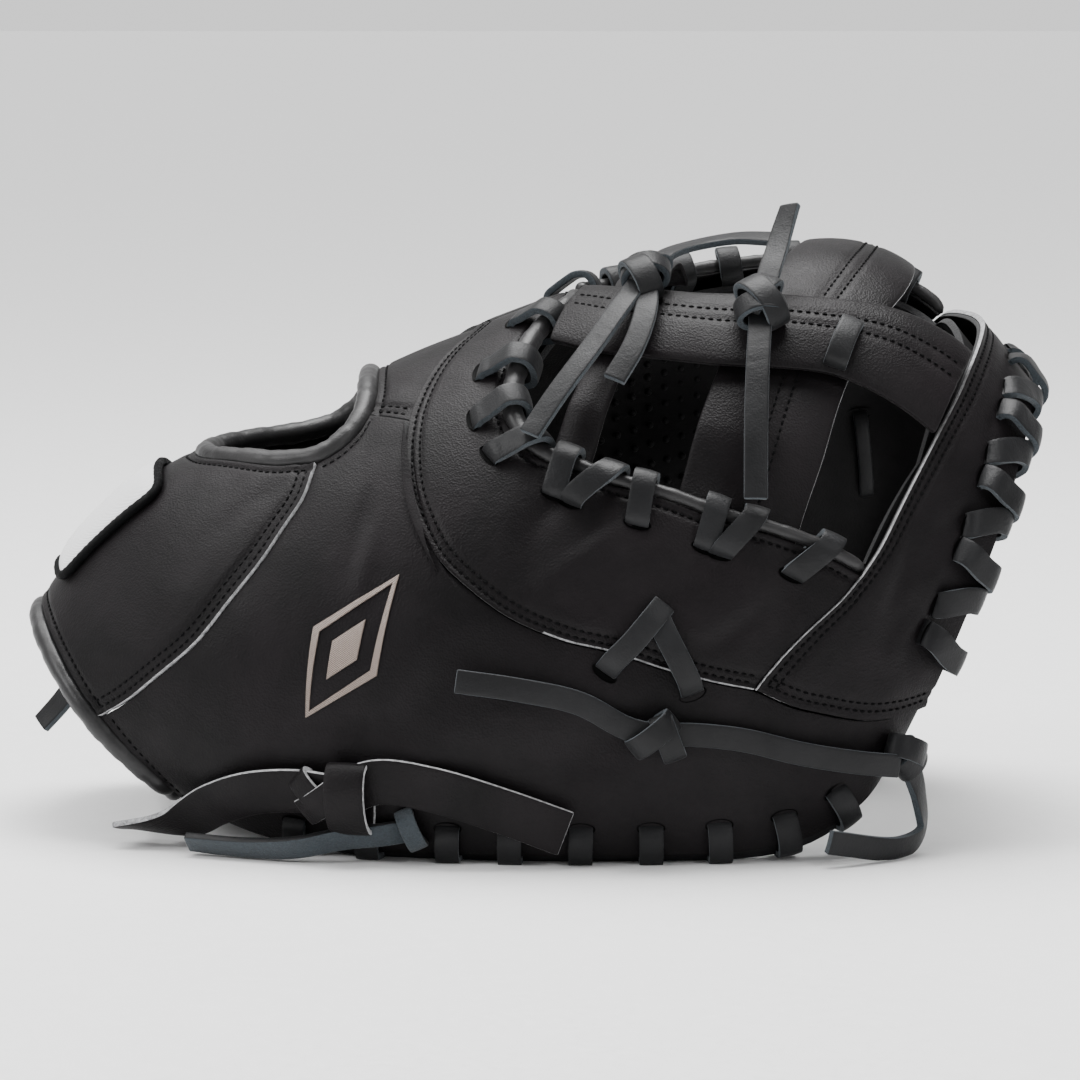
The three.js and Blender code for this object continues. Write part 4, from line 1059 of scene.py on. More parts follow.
def finger_ridges(place: Places, nearest: Points) -> Points:
    """Four soft ridges along the finger side, where the stalls are."""
    along, around = place[..., 0], place[..., 1]
    top = np.interp(along, [0.0, 0.35, 0.45, 0.6, 0.905, 1.0], [0.84, 0.66, 0.66, 0.745, 0.752, 0.76])
    share = np.clip((0.985 - around) / (0.985 - top), 0, 1)
    fade = np.clip((along - 0.25) / 0.2, 0, 1) * np.clip((0.905 - along) / 0.05, 0, 1)
    return 5.0 * fade * np.sin(4 * math.pi * share) ** 2 * np.clip(nearest / 5.0, 0, 1)


def panels() -> list[Panel]:
    """The mitt's panels, from the same edges as its solids."""
    return [
        Panel(
            "thumb_back",
            Edge(([(0, 0), (0.3, 0)], 6), ([(0.3, 0), (0.38, 0)], 3), ([(0.38, 0), (0.41, 0)], 1),
                 ([(0.41, 0), (0.8, 0)], 11), ([(0.8, 0), (1, 0)], 5)),
            Edge((STRAP_EDGE, 6), (OPENING_THUMB_EDGE, 3), (SHORT_SEAM, 1), (THUMB_SEAM, 11),
                 (TIP_TO_THUMB, 5)),
            edge([(0, 0), (0, 0.16)]), edge([(1, 0), (1, 0.036)]), 208, 44,
            seams={Side.LEFT: SINGLE}, part_seams=((Side.TOP, 2.3, 0.24, 0.35),), pillow=0.7,
        ),
        Panel(
            "thumb_web_panel", Edge((THUMB_SEAM_UPPER, 4), (THUMB_SEAM, 11)), edge(THUMB_WELT),
            edge(WEB_CREST), edge(TIP_TO_THUMB_WEB), 165, 36, step=1.0,
            seams={Side.BOTTOM: DOUBLE, Side.TOP: SINGLE}, pale={Side.BOTTOM: (0.66, 1.0)}, worn=True,
            finish=Finish.WEB,
        ),
        Panel(
            "finger_web_panel", Edge((FINGER_SEAM_UPPER, 4), (FINGER_SEAM, 10)), edge(FINGER_WELT),
            edge(WEB_CREST), edge(TIP_TO_FINGER_WEB[::-1]), 154, 36, step=1.0,
            seams={Side.BOTTOM: DOUBLE, Side.TOP: SINGLE}, pale={Side.BOTTOM: (0.5, 1.0)}, worn=True,
            finish=Finish.WEB,
        ),
        Panel(
            "tip_panel", TIP_INNER_EDGE, TIP_OUTER_EDGE, edge(TIP_TO_THUMB), edge([(0.905, 1), (1, 1)]),
            230, 30, step=2.0, wall=1.7, seams={Side.BOTTOM: DOUBLE, Side.LEFT: (2.6, 5.0)},
            pale={Side.BOTTOM: (0.0, 1.0), Side.LEFT: (0.0, 0.7)}, pillow=0.2,
        ),
        Panel(
            "tip_lining", TIP_INNER_EDGE, TIP_OUTER_EDGE, edge(TIP_TO_THUMB), edge([(0.905, 1), (1, 1)]),
            120, 16, step=0.2, wall=1.6, solid=False, pillow=0.0,
        ),
        Panel(
            "wrist_strap", edge([(0, 0.16), (0, 0.84)]),
            Edge((OPENING_WRIST_EDGE, 6), (mirrored(OPENING_WRIST_EDGE)[::-1], 6)), edge(STRAP_EDGE),
            edge(mirrored(STRAP_EDGE)), 132, 66, step=1.0,
            seams={Side.LEFT: DOUBLE, Side.RIGHT: DOUBLE, Side.TOP: SINGLE, Side.BOTTOM: SINGLE},
            pale={Side.LEFT: (0.0, 1.0), Side.RIGHT: (0.0, 1.0)},
        ),
        Panel(
            "hand_bridge", Edge((OPENING_HAND_EDGE, 4), (mirrored(OPENING_HAND_EDGE)[::-1], 4)),
            Edge((THUMB_SEAM_UPPER[::-1], 4), (FINGER_SEAM_UPPER, 4)), edge(SHORT_SEAM),
            edge(FINGER_SHORT_SEAM), 96, 36,
            seams={Side.BOTTOM: SINGLE, Side.LEFT: (2.2, 4.8), Side.RIGHT: (2.2, 4.8)},
        ),
        Panel(
            "finger_back",
            Edge(([(0, 1), (0.3, 1)], 6), ([(0.3, 1), (0.38, 1)], 3), ([(0.38, 1), (0.41, 1)], 1),
                 ([(0.41, 1), (0.905, 1)], 10)),
            Edge((mirrored(STRAP_EDGE), 6), (mirrored(OPENING_THUMB_EDGE), 3), (FINGER_SHORT_SEAM, 1),
                 (FINGER_SEAM, 10)),
            edge([(0, 1), (0, 0.84)]), edge(TIP_TO_FINGER[::-1]), 200, 72,
            seams={Side.LEFT: SINGLE}, part_seams=((Side.TOP, 2.3, 0.31, 0.45),), extra=finger_ridges,
        ),
    ]


@dataclass
class PalmLeather:
    """The palm and pocket: a ring of leather round the web's hole."""

    finer: int = 3
    rows: int = 30
    soft: float = 0.6

    def build(self) -> bpy.types.Object:
        """Makes the palm from its spokes."""
        spokes = []
        for k, row in enumerate(PALM_SPOKES):
            following = PALM_SPOKES[(k + 1) % len(PALM_SPOKES)]
            share = np.linspace(0, 1, row[4] * self.finer, endpoint=False)[:, None]
            spokes.append(np.array(row[:4]) * (1 - share) + np.array(following[:4]) * share)
        spokes = np.vstack(spokes)
        spokes = np.vstack([spokes, spokes[:1]])
        share = 1 - (1 - np.linspace(0, 1, self.rows + 1)) ** 1.4
        place = spokes[:, None, :2] * (1 - share[None, :, None]) + spokes[:, None, 2:] * share[None, :, None]
        along, around = place[..., 0], place[..., 1]
        soft = self.soft * np.sin(along * 41 + 3 * around) * np.sin(around * 23 + 5 * along)
        inside = np.minimum(share, 1 - share)[None, :] * 6
        points = to_metres(Hide.on_palm(place, soft * np.clip(inside, 0, 1)))
        bm = bmesh.new()
        grid_into(bm, points)
        bmesh.ops.remove_doubles(bm, verts=bm.verts, dist=1e-7)
        bm.normal_update()
        crown = max(bm.verts, key=lambda vert: vert.co.z)
        if crown.normal.z < 0:
            bmesh.ops.reverse_faces(bm, faces=bm.faces)
        piece = finish_piece(bm, "palm_leather", [Finish.LINING, Finish.DARK_EDGE], ["palm"])
        thicken(piece, PALM_LEATHER, -1, 0.4)
        return piece


# Rolls


def frames_beside(
    line: Edge, count: int, away: float, depth: float, centre: tuple[float, float] | None, ring: bool
) -> tuple[Points, Points]:
    """A line beside an edge of the shell.

    Args:
        line: The edge.
        count: Steps along it.
        away: How far it lies from the edge.
        depth: How far it stands off the shell.
        centre: A place that it lies towards, or None for beyond the wrist.
        ring: Whether the line closes.

    Returns:
        Points in millimetres and directions out of the leather.
    """
    t = np.linspace(0, 1, count + 1)[: count if ring else count + 1]
    place = line(t)
    forward, _, out = Hide.axes(place, Hide.shell)
    if centre is None:
        side = -forward
    else:
        ahead = Hide.shell(line(np.minimum(t + 0.01, 1))) - Hide.shell(line(np.maximum(t - 0.01, 0)))
        side = unit(np.cross(ahead, out))
        towards = Hide.shell(np.array([centre]))[0] - Hide.shell(place)
        side = side * np.sign(np.sum(side * towards, axis=-1, keepdims=True))
    return Hide.on_shell(place, depth) + side * away, out


def swelling(fat: float) -> Callable[[float], float]:
    """How much fatter a welt is near its bend, in millimetres, by its share."""
    return lambda share: WELT_RADIUS * fat * math.exp(-(((share - 0.24) / 0.2) ** 2))


THUMB_SWELL = swelling(0.62)
FINGER_SWELL = swelling(0.2)
# Places in the web's hole, on the side of each welt
THUMB_HOLE = (0.72, 0.36)
FINGER_HOLE = (0.72, 0.48)


@dataclass
class Bindings:
    """Rolled leather round the wrist, the heel and the opening, and the welts of the web."""

    sides: int = 20
    steps: int = 140
    away: float = BINDING_RADIUS + SEAT_GAP

    def wrinkled(self, radius: float, count: int, seed: float, ends: bool) -> Points:
        """Radii in metres along a roll, with faint wrinkles and rounded ends."""
        at = np.arange(count)
        waves = 0.035 * np.sin(at * 0.83 + seed) + 0.025 * np.sin(at * 1.71 + 2 * seed)
        waves = waves + 0.02 * np.sin(at * 0.31)
        radii = radius * (1 + waves)
        if ends:
            nearest = np.minimum(at, count - 1 - at)
            radii = radii * np.array([0.35, 0.75, 0.93])[np.minimum(nearest, 2)] ** (nearest < 3)
        return radii * MM

    def roll(self, name: str, node: str, path: Points, ups: Points, radius: Points, ring: bool) -> None:
        """Makes one roll."""
        bm = bmesh.new()
        tube_into(bm, to_metres(path), ups, radius, ring, self.sides)
        finish_piece(bm, name, [Finish.BINDING], [node])

    def wrist(self) -> None:
        """Makes the roll round the wrist's mouth."""
        line = Edge(([(0, 0.012), (0, 0.16)], 5), ([(0, 0.16), (0, 0.84)], 12), ([(0, 0.84), (0, 0.988)], 5))
        path, ups = frames_beside(line, 120, self.away + 0.2, -LEATHER / 2, None, False)
        self.roll("wrist_binding_roll", "wrist_binding", path, ups, self.wrinkled(3.3, 121, 0.4, True), False)

    def heel(self) -> None:
        """Makes the roll along the palm's heel."""
        around = np.linspace(0.055, 0.945, 91)
        middle = Hide.on_palm(np.stack([around * 0, around], 1), -PALM_LEATHER / 2)
        ahead = unit(Hide.on_palm(np.stack([around * 0 + 0.02, around], 1), -PALM_LEATHER / 2) - middle)
        path = middle - ahead * (self.away + 1.0)
        self.roll("heel_binding_roll", "heel_binding", path, ahead, self.wrinkled(3.1, 91, 1.2, True), False)

    def opening(self) -> None:
        """Makes the roll round the opening in the back."""
        half = [OPENING_WRIST_EDGE[::-1], OPENING_THUMB_EDGE, OPENING_HAND_EDGE]
        far = [mirrored(part)[::-1] for part in half[::-1]]
        line = Edge(*zip([*half, *far], [6, 3, 4, 4, 3, 6]))
        path, ups = frames_beside(line, 156, self.away, -LEATHER / 2, (0.33, 0.5), True)
        path = ring_smoothed(path, 3) + ups * 0.5
        radii = self.wrinkled(3.3, 156, 2.1, False)
        self.roll("opening_binding_roll", "opening_binding", path, ups, radii, True)

    def welt(
        self, name: str, points: Shares, centre: tuple[float, float], ends: tuple[float, float],
        swell: Callable[[float], float],
    ) -> None:
        """Makes a welt along the web's hole, which runs on under the tip's leather.

        Args:
            name: The solid's name.
            points: The hole's edge.
            centre: A place in the hole.
            ends: The shares of the edge that the welt starts and ends at.
            swell: How much fatter it is at a share of the edge.
        """
        low, high = ends
        part = Edge((edge(points)(np.linspace(low, high, 24)), 1))
        path, ups = frames_beside(part, self.steps, WELT_AWAY, 0.0, centre, False)
        more = np.array([swell(low + (high - low) * k / self.steps) for k in range(self.steps + 1)])
        path = path + ups * more[:, None] * 0.7
        ahead = unit(path[-1] - path[-4])
        beyond = [path[-1] + ahead * k * 1.2 - ups[-1] * 0.12 * k * k for k in range(1, 5)]
        path = np.vstack([path, beyond])
        ups, more = np.vstack([ups, ups[-1:].repeat(4, axis=0)]), np.append(more, [0.0] * 4)
        radii = self.wrinkled(WELT_RADIUS + 0.1, len(path), 0.7, True)
        self.roll(name + "_roll", name, path, ups, radii * (1 + more / WELT_RADIUS), False)

    def build(self) -> None:
        """Makes every roll."""
        self.wrist()
        self.heel()
        self.opening()
        self.welt("thumb_welt", THUMB_WELT, THUMB_HOLE, (0.03, 0.97), THUMB_SWELL)
        self.welt("finger_welt", FINGER_WELT, FINGER_HOLE, (0.04, 0.97), FINGER_SWELL)


def ring_smoothed(path: Points, times: int) -> Points:
    """A closed path with its kinks eased."""
    for _ in range(times):
        path = (np.roll(path, 1, axis=0) + 2 * path + np.roll(path, -1, axis=0)) / 4
    return path


# Lacing


@dataclass
class Thong:
    """One length of flat lace: its middle line and the directions its face looks in, in millimetres."""

    path: Points
    ups: Points
    width: float = LACE_WIDTH

    def into(self, bm: bmesh.types.BMesh, count: int, floor: float | None = None) -> None:
        """Adds the lace to a mesh.

        Args:
            bm: The mesh.
            count: Steps along it.
            floor: The lowest that its middle may lie, in millimetres, if it is near the table.
        """
        fine = smooth_line(np.hstack([self.path, self.ups * 0.01]), 16)
        lengths = lengths_along(fine[:, :3])
        line = read_along(fine, lengths, np.linspace(0, lengths[-1], count + 1))
        path, ups = line[:, :3], unit(line[:, 3:])
        ahead = unit(np.gradient(path, axis=0))
        across = unit(np.cross(ahead, ups))
        upward = np.cross(across, ahead)
        share = np.array([-1.0, -0.72, -0.25, 0.25, 0.72, 1.0])
        crown = 0.22 * (1 - share**2)
        points = path[:, None] + across[:, None] * (share * self.width / 2)[None, :, None]
        points = points + upward[:, None] * crown[None, :, None]
        if floor is not None:
            points[..., 2] = np.maximum(points[..., 2], floor)
        grid_into(bm, to_metres(points))


def lace_piece(
    name: str, nodes: Sequence[str], thongs: Sequence[Thong], steps: int, thick: float = 2.0,
    edge_finish: Finish = Finish.LACE_EDGE, floor: float | None = None, face_finish: Finish = Finish.LACE,
) -> bpy.types.Object:
    """Makes a piece of lengths of lace.

    Args:
        name: The piece's name.
        nodes: The solids that it stands for.
        thongs: Its lengths.
        steps: Steps along each.
        thick: How thick the lace is, in millimetres.
        edge_finish: The finish of its cut edges.
        floor: The lowest that its middle may lie.
        face_finish: The finish of its faces.

    Returns:
        The piece.
    """
    bm = bmesh.new()
    for thong in thongs:
        thong.into(bm, steps, floor)
    piece = finish_piece(bm, name, [face_finish, edge_finish], nodes)
    thicken(piece, thick, 0, 0.42)
    return piece


@dataclass
class Eyelets:
    """The holes where laces go in, each at a point, with the directions out and along its lace. Each hole is
    drawn as a dark oval of painted shadow.
    """

    long: float = 4.3
    wide: float = 2.0
    rim: float = 0.6
    sunk: float = 0.35
    places: list[tuple[Points, Points, Points]] = field(default_factory=list)

    def build(self) -> bpy.types.Object:
        """Makes each hole as a thin dark oval of painted shadow with a pressed rim."""
        bm = bmesh.new()
        for at, out, side in self.places:
            across = np.cross(out, side)
            turn = Matrix((side, across, out)).transposed().to_4x4()
            size = Matrix.Diagonal((self.wide * MM, self.long * MM, 1, 1))
            place = Matrix.Translation(to_metres(at)) @ turn @ size
            made = bmesh.ops.create_circle(bm, cap_ends=True, segments=20, radius=1, matrix=place)
            face = made["verts"][0].link_faces[0]
            rim = bmesh.ops.inset_region(
                bm, faces=[face], use_boundary=True, thickness=self.rim * MM, depth=-self.sunk * MM
            )
            for ring in rim["faces"]:
                ring.smooth = True
        return finish_piece(bm, "lace_eyelets", [Finish.HOLE_SHADOW])


@dataclass(frozen=True)
class Loop:
    """A loop of lace over a welt, at a share of its edge.

    It leans at its hole and over the welt, and may lie on its neighbour, in millimetres.
    """

    share: float
    at_hole: float
    over_welt: float
    lift: float = 0.0


THUMB_LOOPS = (
    Loop(0.13, 0.5, -0.5),
    Loop(0.245, 1.8, -1.0),
    Loop(0.33, 0.6, -1.6),
    Loop(0.40, -4.0, 1.6),
    Loop(0.475, 0.8, -0.8),
    Loop(0.535, -6.6, 2.0, 1.8),
    Loop(0.60, 1.2, -0.4),
    Loop(0.725, 0.0, -1.2),
    Loop(0.775, -5.6, 2.4, 1.8),
    Loop(0.905, -4.6, 3.0),
)
FINGER_LOOPS = (
    Loop(0.10, 0.0, 0.0),
    Loop(0.24, 1.5, -1.5),
    Loop(0.38, -1.5, 1.0),
    Loop(0.50, 2.0, -1.0),
    Loop(0.62, -2.0, 1.0),
    Loop(0.74, 1.5, -1.0),
    Loop(0.90, 0.0, 0.0),
)
# Where stitches lie along the two side rims, and round the tip
THUMB_TABS = (0.152, 0.250, 0.357, 0.432, 0.517, 0.603, 0.690, 0.787, 0.880)
FINGER_TABS = (0.140, 0.215, 0.290, 0.365, 0.440, 0.515, 0.590, 0.665, 0.740, 0.815)
TIP_STITCHES = (
    0.085, 0.125, 0.165, 0.205, 0.245, 0.290, 0.338, 0.392, 0.450, 0.515, 0.580, 0.645, 0.708, 0.768,
    0.826, 0.882,
)


@dataclass
class Lacing:
    """The web's and the rim's laces, loop by loop."""

    eyelets: Eyelets

    def build(self) -> None:
        """Makes every sewn lace."""
        self.web("thumb_web_lace", THUMB_WELT, THUMB_HOLE, THUMB_SWELL, THUMB_LOOPS)
        self.web("finger_web_lace", FINGER_WELT, FINGER_HOLE, FINGER_SWELL, FINGER_LOOPS)
        self.rim("thumb_rim_lace", 0, THUMB_TABS)
        self.rim("finger_rim_lace", 1, FINGER_TABS)
        self.tip(TIP_STITCHES)

    def web(
        self, name: str, points: Shares, centre: tuple[float, float], swell: Callable[[float], float],
        loops: Sequence[Loop],
    ) -> None:
        """Laces that whip a welt.

        Args:
            name: The solid's name.
            points: The welt's edge.
            centre: A place in the hole beside it.
            swell: How much fatter than plain the welt is at a share of its edge.
            loops: The loops.
        """
        line = edge(points)
        thongs = []
        for loop in loops:
            t, lift = loop.share, loop.lift
            place = line(np.array([t]))
            out = Hide.axes(place, Hide.shell)[2][0]
            ahead = unit(Hide.shell(line(np.array([t + 0.01]))) - Hide.shell(line(np.array([t - 0.01]))))[0]
            side = unit(np.cross(ahead, out))
            base = Hide.shell(place)[0]
            if side @ (Hide.shell(np.array([centre]))[0] - base) < 0:
                side = -side
            fat = swell(t)
            far = WELT_AWAY + fat
            # Sideways and out: from the hole, over leather and welt, and back below
            run = [
                (-9.8, -2.6), (-9.3, 0.4), (-8.2, 2.3 + lift * 0.7), (-5.0, 3.5 + lift),
                (-1.2, 4.3 + lift * 0.8 + fat), (WELT_AWAY - 0.6, 4.7 + lift * 0.4 + 1.7 * fat),
                (far + 2.8, 3.4 + fat), (far + 4.0, -0.2), (far + 2.6, -3.9), (-1.5, -LACE_DEPTH - 0.6),
            ]
            leans = np.interp([a for a, _ in run], [-9.8, 4.0], [loop.at_hole, loop.over_welt])
            path = np.array([base + out * h + side * a + ahead * w for (a, h), w in zip(run, leans)])
            outs = [
                (-1, 0.1), (-1, 0.6), (-0.5, 1), (-0.25, 1), (-0.15, 1), (0.25, 1), (1, 0.7), (1, -0.3),
                (0.7, -1), (0, -1),
            ]
            thongs.append(Thong(path, np.array([unit(side * a + out * h) for a, h in outs])))
            hole = base + out * EYELET_OUT - side * 9.7 + ahead * loop.at_hole
            self.eyelets.places.append((hole, out, side))
        lace_piece(name + "_thong", [name], thongs, 48, 2.2)

    def rim(self, name: str, around: float, places: Sequence[float]) -> None:
        """Tabs of lace over a side rim, which the mitt lies on."""
        thongs = []
        for along in places:
            place = np.array([[along, around]])
            forward, _, out = (v[0] for v in Hide.axes(place, Hide.shell))
            side = np.cross(out, forward) if around else np.cross(forward, out)
            thongs.append(self.over_edge(place, unit(side), out, 0.0, 9.4, (0.0, 0.0), 0.0))
        places = np.asarray(places)
        run = np.linspace(places[0] - 0.01, places[-1] + 0.01, 40)
        thongs.append(self.filling(np.stack([run, run * 0 + around], 1)))
        lace_piece(name + "_thong", [name], thongs, 36, floor=1.02)

    def tip(self, places: Sequence[float]) -> None:
        """Loops of lace round the tip, in leaning pairs."""
        thongs = []
        for k, around in enumerate(places):
            place = np.array([[1.0, around]])
            _, over, out = (v[0] for v in Hide.axes(place, Hide.shell))
            side = unit(np.cross(over, out))
            lean, lift = ((3.4, -3.9), 0.0) if k % 2 else ((-1.4, 1.6), 1.7)
            thongs.append(self.over_edge(place, side, out, 2.2, 11.4, lean, lift))
        run = np.linspace(places[0] - 0.012, places[-1] + 0.012, 60)
        thongs.append(self.filling(np.stack([run * 0 + 1, run], 1)))
        lace_piece("tip_rim_lace_thong", ["tip_rim_lace"], thongs, 36)

    def over_edge(
        self, place: Places, side: Points, out: Points, step: float, reach: float, lean: tuple[float, float],
        lift: float,
    ) -> Thong:
        """One stitch over the rim: out of a hole, over the edge and back in the palm.

        Args:
            place: The stitch's place on the rim.
            side: The direction off the rim.
            out: The direction out of the leather.
            step: How high the leather stands off the shell there, in millimetres.
            reach: How far in from the rim its hole is.
            lean: How far it leans at its hole and at the rim.
            lift: How high it lies on its neighbour.

        Returns:
            The stitch.
        """
        base = Hide.shell(place)[0]
        rim = np.cross(side, out)
        inward, back = self.square_in(place[0], side, reach), self.square_in(place[0], side, 9.4)
        outer, inner = Hide.on_shell(inward, 0.0)[0], Hide.on_palm(back, 0.0)[0]
        high, low = step + 1.4 + lift, -LAYER_GAP - PALM_LEATHER - 1.6
        at_hole, at_rim = lean
        path = np.array(
            [
                outer + out * (step - 2.4) + rim * at_hole - side * 0.5,
                outer + out * (step + 0.6) + rim * at_hole,
                outer + out * (high + 0.5) + side * 2.2 + rim * (at_hole * 0.75 + at_rim * 0.25),
                base + out * (high + 0.8) - side * 3.4 + rim * (at_hole * 0.2 + at_rim * 0.8),
                base + out * high + side * (0.9 + lift * 0.4) + rim * at_rim,
                base + out * (high - 2.3) + side * (2.6 + lift * 0.4) + rim * at_rim,
                base + out * (low + 2.2) + side * (2.5 + lift * 0.4) + rim * at_rim,
                base + out * low + side * 0.8 + rim * at_rim,
                inner - out * 1.6 + side * 2.0,
                inner + out * 1.2 - side * 0.3,
            ]
        )
        turns = [
            (-0.9, 0.5), (-0.7, 1), (-0.15, 1), (0.1, 1), (0.6, 1), (1, 0.4), (1, -0.4), (0.4, -1), (0, -1),
            (-0.5, -1),
        ]
        self.eyelets.places.append((outer + out * (step + 0.62) + rim * at_hole - side * 0.5, out, side))
        width = LACE_WIDTH + (0.8 if step else 0.0)
        return Thong(path, np.array([unit(side * a + out * h) for a, h in turns]), width)

    @staticmethod
    def square_in(place: Points, side: Points, distance: float) -> Places:
        """The place some millimetres in from the rim, square to it."""
        step = 0.01
        along, around = place
        sign_a, sign_v = (-1 if along > 0.5 else 1), (-1 if around > 0.5 else 1)
        base = Hide.shell(np.array([place]))[0]
        by_along = Hide.shell(np.array([[along + sign_a * step, around]]))[0] - base
        by_around = Hide.shell(np.array([[along, around + sign_v * step]]))[0] - base
        rim = np.cross(side, Hide.axes(np.array([place]), Hide.shell)[2][0])
        ax, ay, bx, by = by_along @ rim, -by_along @ side, by_around @ rim, -by_around @ side
        share = step * distance / (ax * by - bx * ay)
        return np.array([[along - sign_a * bx * share, around + sign_v * ax * share]])

    @staticmethod
    def filling(places: Places) -> Thong:
        """The run of lace between the two leathers."""
        out = Hide.axes(places, Hide.shell)[2]
        return Thong(Hide.on_shell(places, -LACE_DEPTH), out, LACE_WIDTH - 1.0)


@dataclass
class LooseEnd:
    """A loose end of lace or strap along one of the part's routes."""

    rows: Shares
    width: float = LACE_WIDTH

    def middle(self, row: Sequence[float]) -> Points:
        """The point of a row: along, around, out, ahead and rise."""
        along, around, out, ahead, rise = row
        shift = np.array([ahead, 0, rise]) * LOOSE_REACH
        return Hide.on_shell(np.array([[along, around]]), out * LOOSE_REACH)[0] + shift

    def thong(self, roll: float = 0.0, tail: float = 0.0) -> Thong:
        """The length of lace.

        Args:
            roll: How far it turns about itself all along, in degrees.
            tail: How far more its last third turns.

        Returns:
            The lace.
        """
        path = np.array([self.middle(row) for row in self.rows])
        outs = Hide.axes(np.array([row[:2] for row in self.rows]), Hide.shell)[2]
        ahead = unit(np.gradient(path, axis=0))
        share = np.linspace(0, 1, len(path))[:, None]
        turn = math.radians(roll) * share + math.radians(tail) * np.clip(share * 3 - 2, 0, 1)
        across = unit(np.cross(ahead, outs))
        ups = outs * np.cos(turn) + across * np.sin(turn)
        return Thong(path, ups, self.width)

    def knot(self, bands: Sequence["KnotBand"]) -> list[Thong]:
        """Bands of lace pulled round the start of the loose end.

        Args:
            bands: What each band is like.

        Returns:
            The bands, as closed turns of lace.
        """
        at = self.middle(self.rows[0])
        ahead = unit(self.middle(self.rows[1]) - at)
        out = Hide.axes(np.array([self.rows[0][:2]]), Hide.shell)[2][0]
        across = unit(np.cross(ahead, out))
        upward = np.cross(across, ahead)
        turns = []
        for k, band in enumerate(bands):
            lean = math.radians(band.tilt)
            axis = across * math.cos(lean) + ahead * math.sin(lean)
            angle = np.linspace(0, 1.97 * math.pi, 17)[:, None] - math.pi / 2 + 0.4 * k
            bulge = np.clip(np.sin(angle), 0, 1)
            spoke = axis * np.cos(angle) * band.wide + upward * np.sin(angle) * band.deep * (1 + 0.15 * bulge)
            slant = ahead * np.sin(angle) * band.slant
            ups = unit(axis * np.cos(angle) / band.wide + upward * np.sin(angle) / band.deep)
            turns.append(Thong(at + spoke + slant + ahead * band.shift, ups, band.lace))
        return turns


@dataclass(frozen=True)
class KnotBand:
    """One turn of lace in a knot, in degrees and millimetres."""

    tilt: float
    wide: float
    deep: float
    lace: float = LACE_WIDTH
    shift: float = 0.0
    slant: float = 0.0


# Routes of the loose ends: (along, around, out, ahead, rise), the last three as shares of LOOSE_REACH
HEEL_STRAP = (
    ((0.255, 0.046, 0.47, 0, 0), (0.205, 0.048, 0.50, 0, 0.2), (0.150, 0.048, 0.70, 0, 0.3),
     (0.090, 0.034, 0.80, 0, 0.4), (0.030, 0.020, 0.90, 0, 0), (0.000, 0.012, 0.90, -1.4, -0.14)),
    ((0.262, 0.048, 0.47, 0, 0), (0.310, 0.050, 0.50, 0, 0.2), (0.370, 0.044, 0.50, 0, 0.1),
     (0.440, 0.030, 0.50, 0, 0), (0.508, 0.020, 0.50, 0, -0.26)),
)
HEEL_LACE = (
    (0.330, 0.018, 0.17, 0, 0), (0.290, 0.017, 0.42, 0, 0), (0.240, 0.015, 0.66, 0, 0.10),
    (0.185, 0.014, 1.20, 0, 0.14), (0.130, 0.014, 1.50, 0, 0.24), (0.080, 0.014, 1.60, -0.6, 0.34),
)
THUMB_LACE = (
    ((0.620, 0.064, 0.44, 0, 0), (0.588, 0.070, 0.40, 0, 0), (0.542, 0.088, 0.38, 0, 0),
     (0.485, 0.102, 0.50, 0, 0), (0.427, 0.115, 0.70, 0, 0)),
    ((0.630, 0.064, 0.44, 0, 0), (0.660, 0.062, 0.40, 0, 0), (0.715, 0.056, 0.38, 0, 0),
     (0.790, 0.044, 0.45, 0, 0), (0.865, 0.032, 0.65, 0, 0), (0.925, 0.020, 0.80, 0, 0)),
)
TIP_LACE = (
    (0.955, 0.016, 0.62, 0, 0), (0.975, 0.006, 0.90, 0, -0.8), (0.965, 0.001, 1.20, 0, -1.4),
    (0.930, 0.001, 1.70, -0.6, -1.16), (0.880, 0.001, 2.20, -1.8, -0.12),
)
CROSS_LACE = (
    ((0.572, 0.104, 0.05, 0, 0), (0.580, 0.109, 0.30, 0, 0), (0.600, 0.118, 0.42, 0, 0),
     (0.622, 0.130, 0.40, 0, 0), (0.636, 0.138, 0.22, 0, 0)),
    ((0.626, 0.136, 0.22, 0, 0), (0.632, 0.124, 0.34, 0, 0), (0.645, 0.106, 0.40, 0, 0),
     (0.656, 0.092, 0.30, 0, 0), (0.661, 0.084, 0.05, 0, 0)),
)
CROTCH_LACE = (
    ((0.640, 0.400, 0.95, 0, 0), (0.622, 0.368, 1.10, 0, 0), (0.592, 0.330, 1.10, 0, 0),
     (0.560, 0.298, 1.05, 0, 0), (0.532, 0.272, 0.90, 0, 0)),
    ((0.640, 0.400, 0.95, 0, 0), (0.640, 0.358, 1.00, 0, 0), (0.626, 0.322, 0.95, 0, 0),
     (0.606, 0.298, 0.85, 0, 0)),
    ((0.640, 0.400, 0.95, 0, 0), (0.662, 0.440, 0.75, 0, 0), (0.690, 0.462, 0.55, 0, 0),
     (0.722, 0.462, 0.50, 0, 0), (0.752, 0.440, 0.55, 0, 0)),
)
POST_LACE = (
    ((0.737, 0.332, 1.04, 0, 0), (0.733, 0.295, 1.10, 0, 0), (0.730, 0.262, 1.05, 0, 0),
     (0.728, 0.230, 1.00, 0, 0), (0.727, 0.190, 0.85, 0, 0)),
    ((0.737, 0.332, 1.04, 0, 0), (0.745, 0.360, 1.15, 0, 0.1), (0.752, 0.380, 1.20, 0, 0.2),
     (0.758, 0.396, 1.20, 0, 0.5), (0.764, 0.408, 1.20, 0, 0.9)),
)
POST_LOOP = (
    (0.8005, 0.2830, 0.44, 0, 0), (0.8012, 0.2850, 0.74, 0, 0), (0.8050, 0.2960, 0.92, 0, 0),
    (0.8100, 0.3080, 0.92, 0, 0), (0.8140, 0.3180, 0.76, 0, 0), (0.8148, 0.3200, 0.46, 0, 0),
)
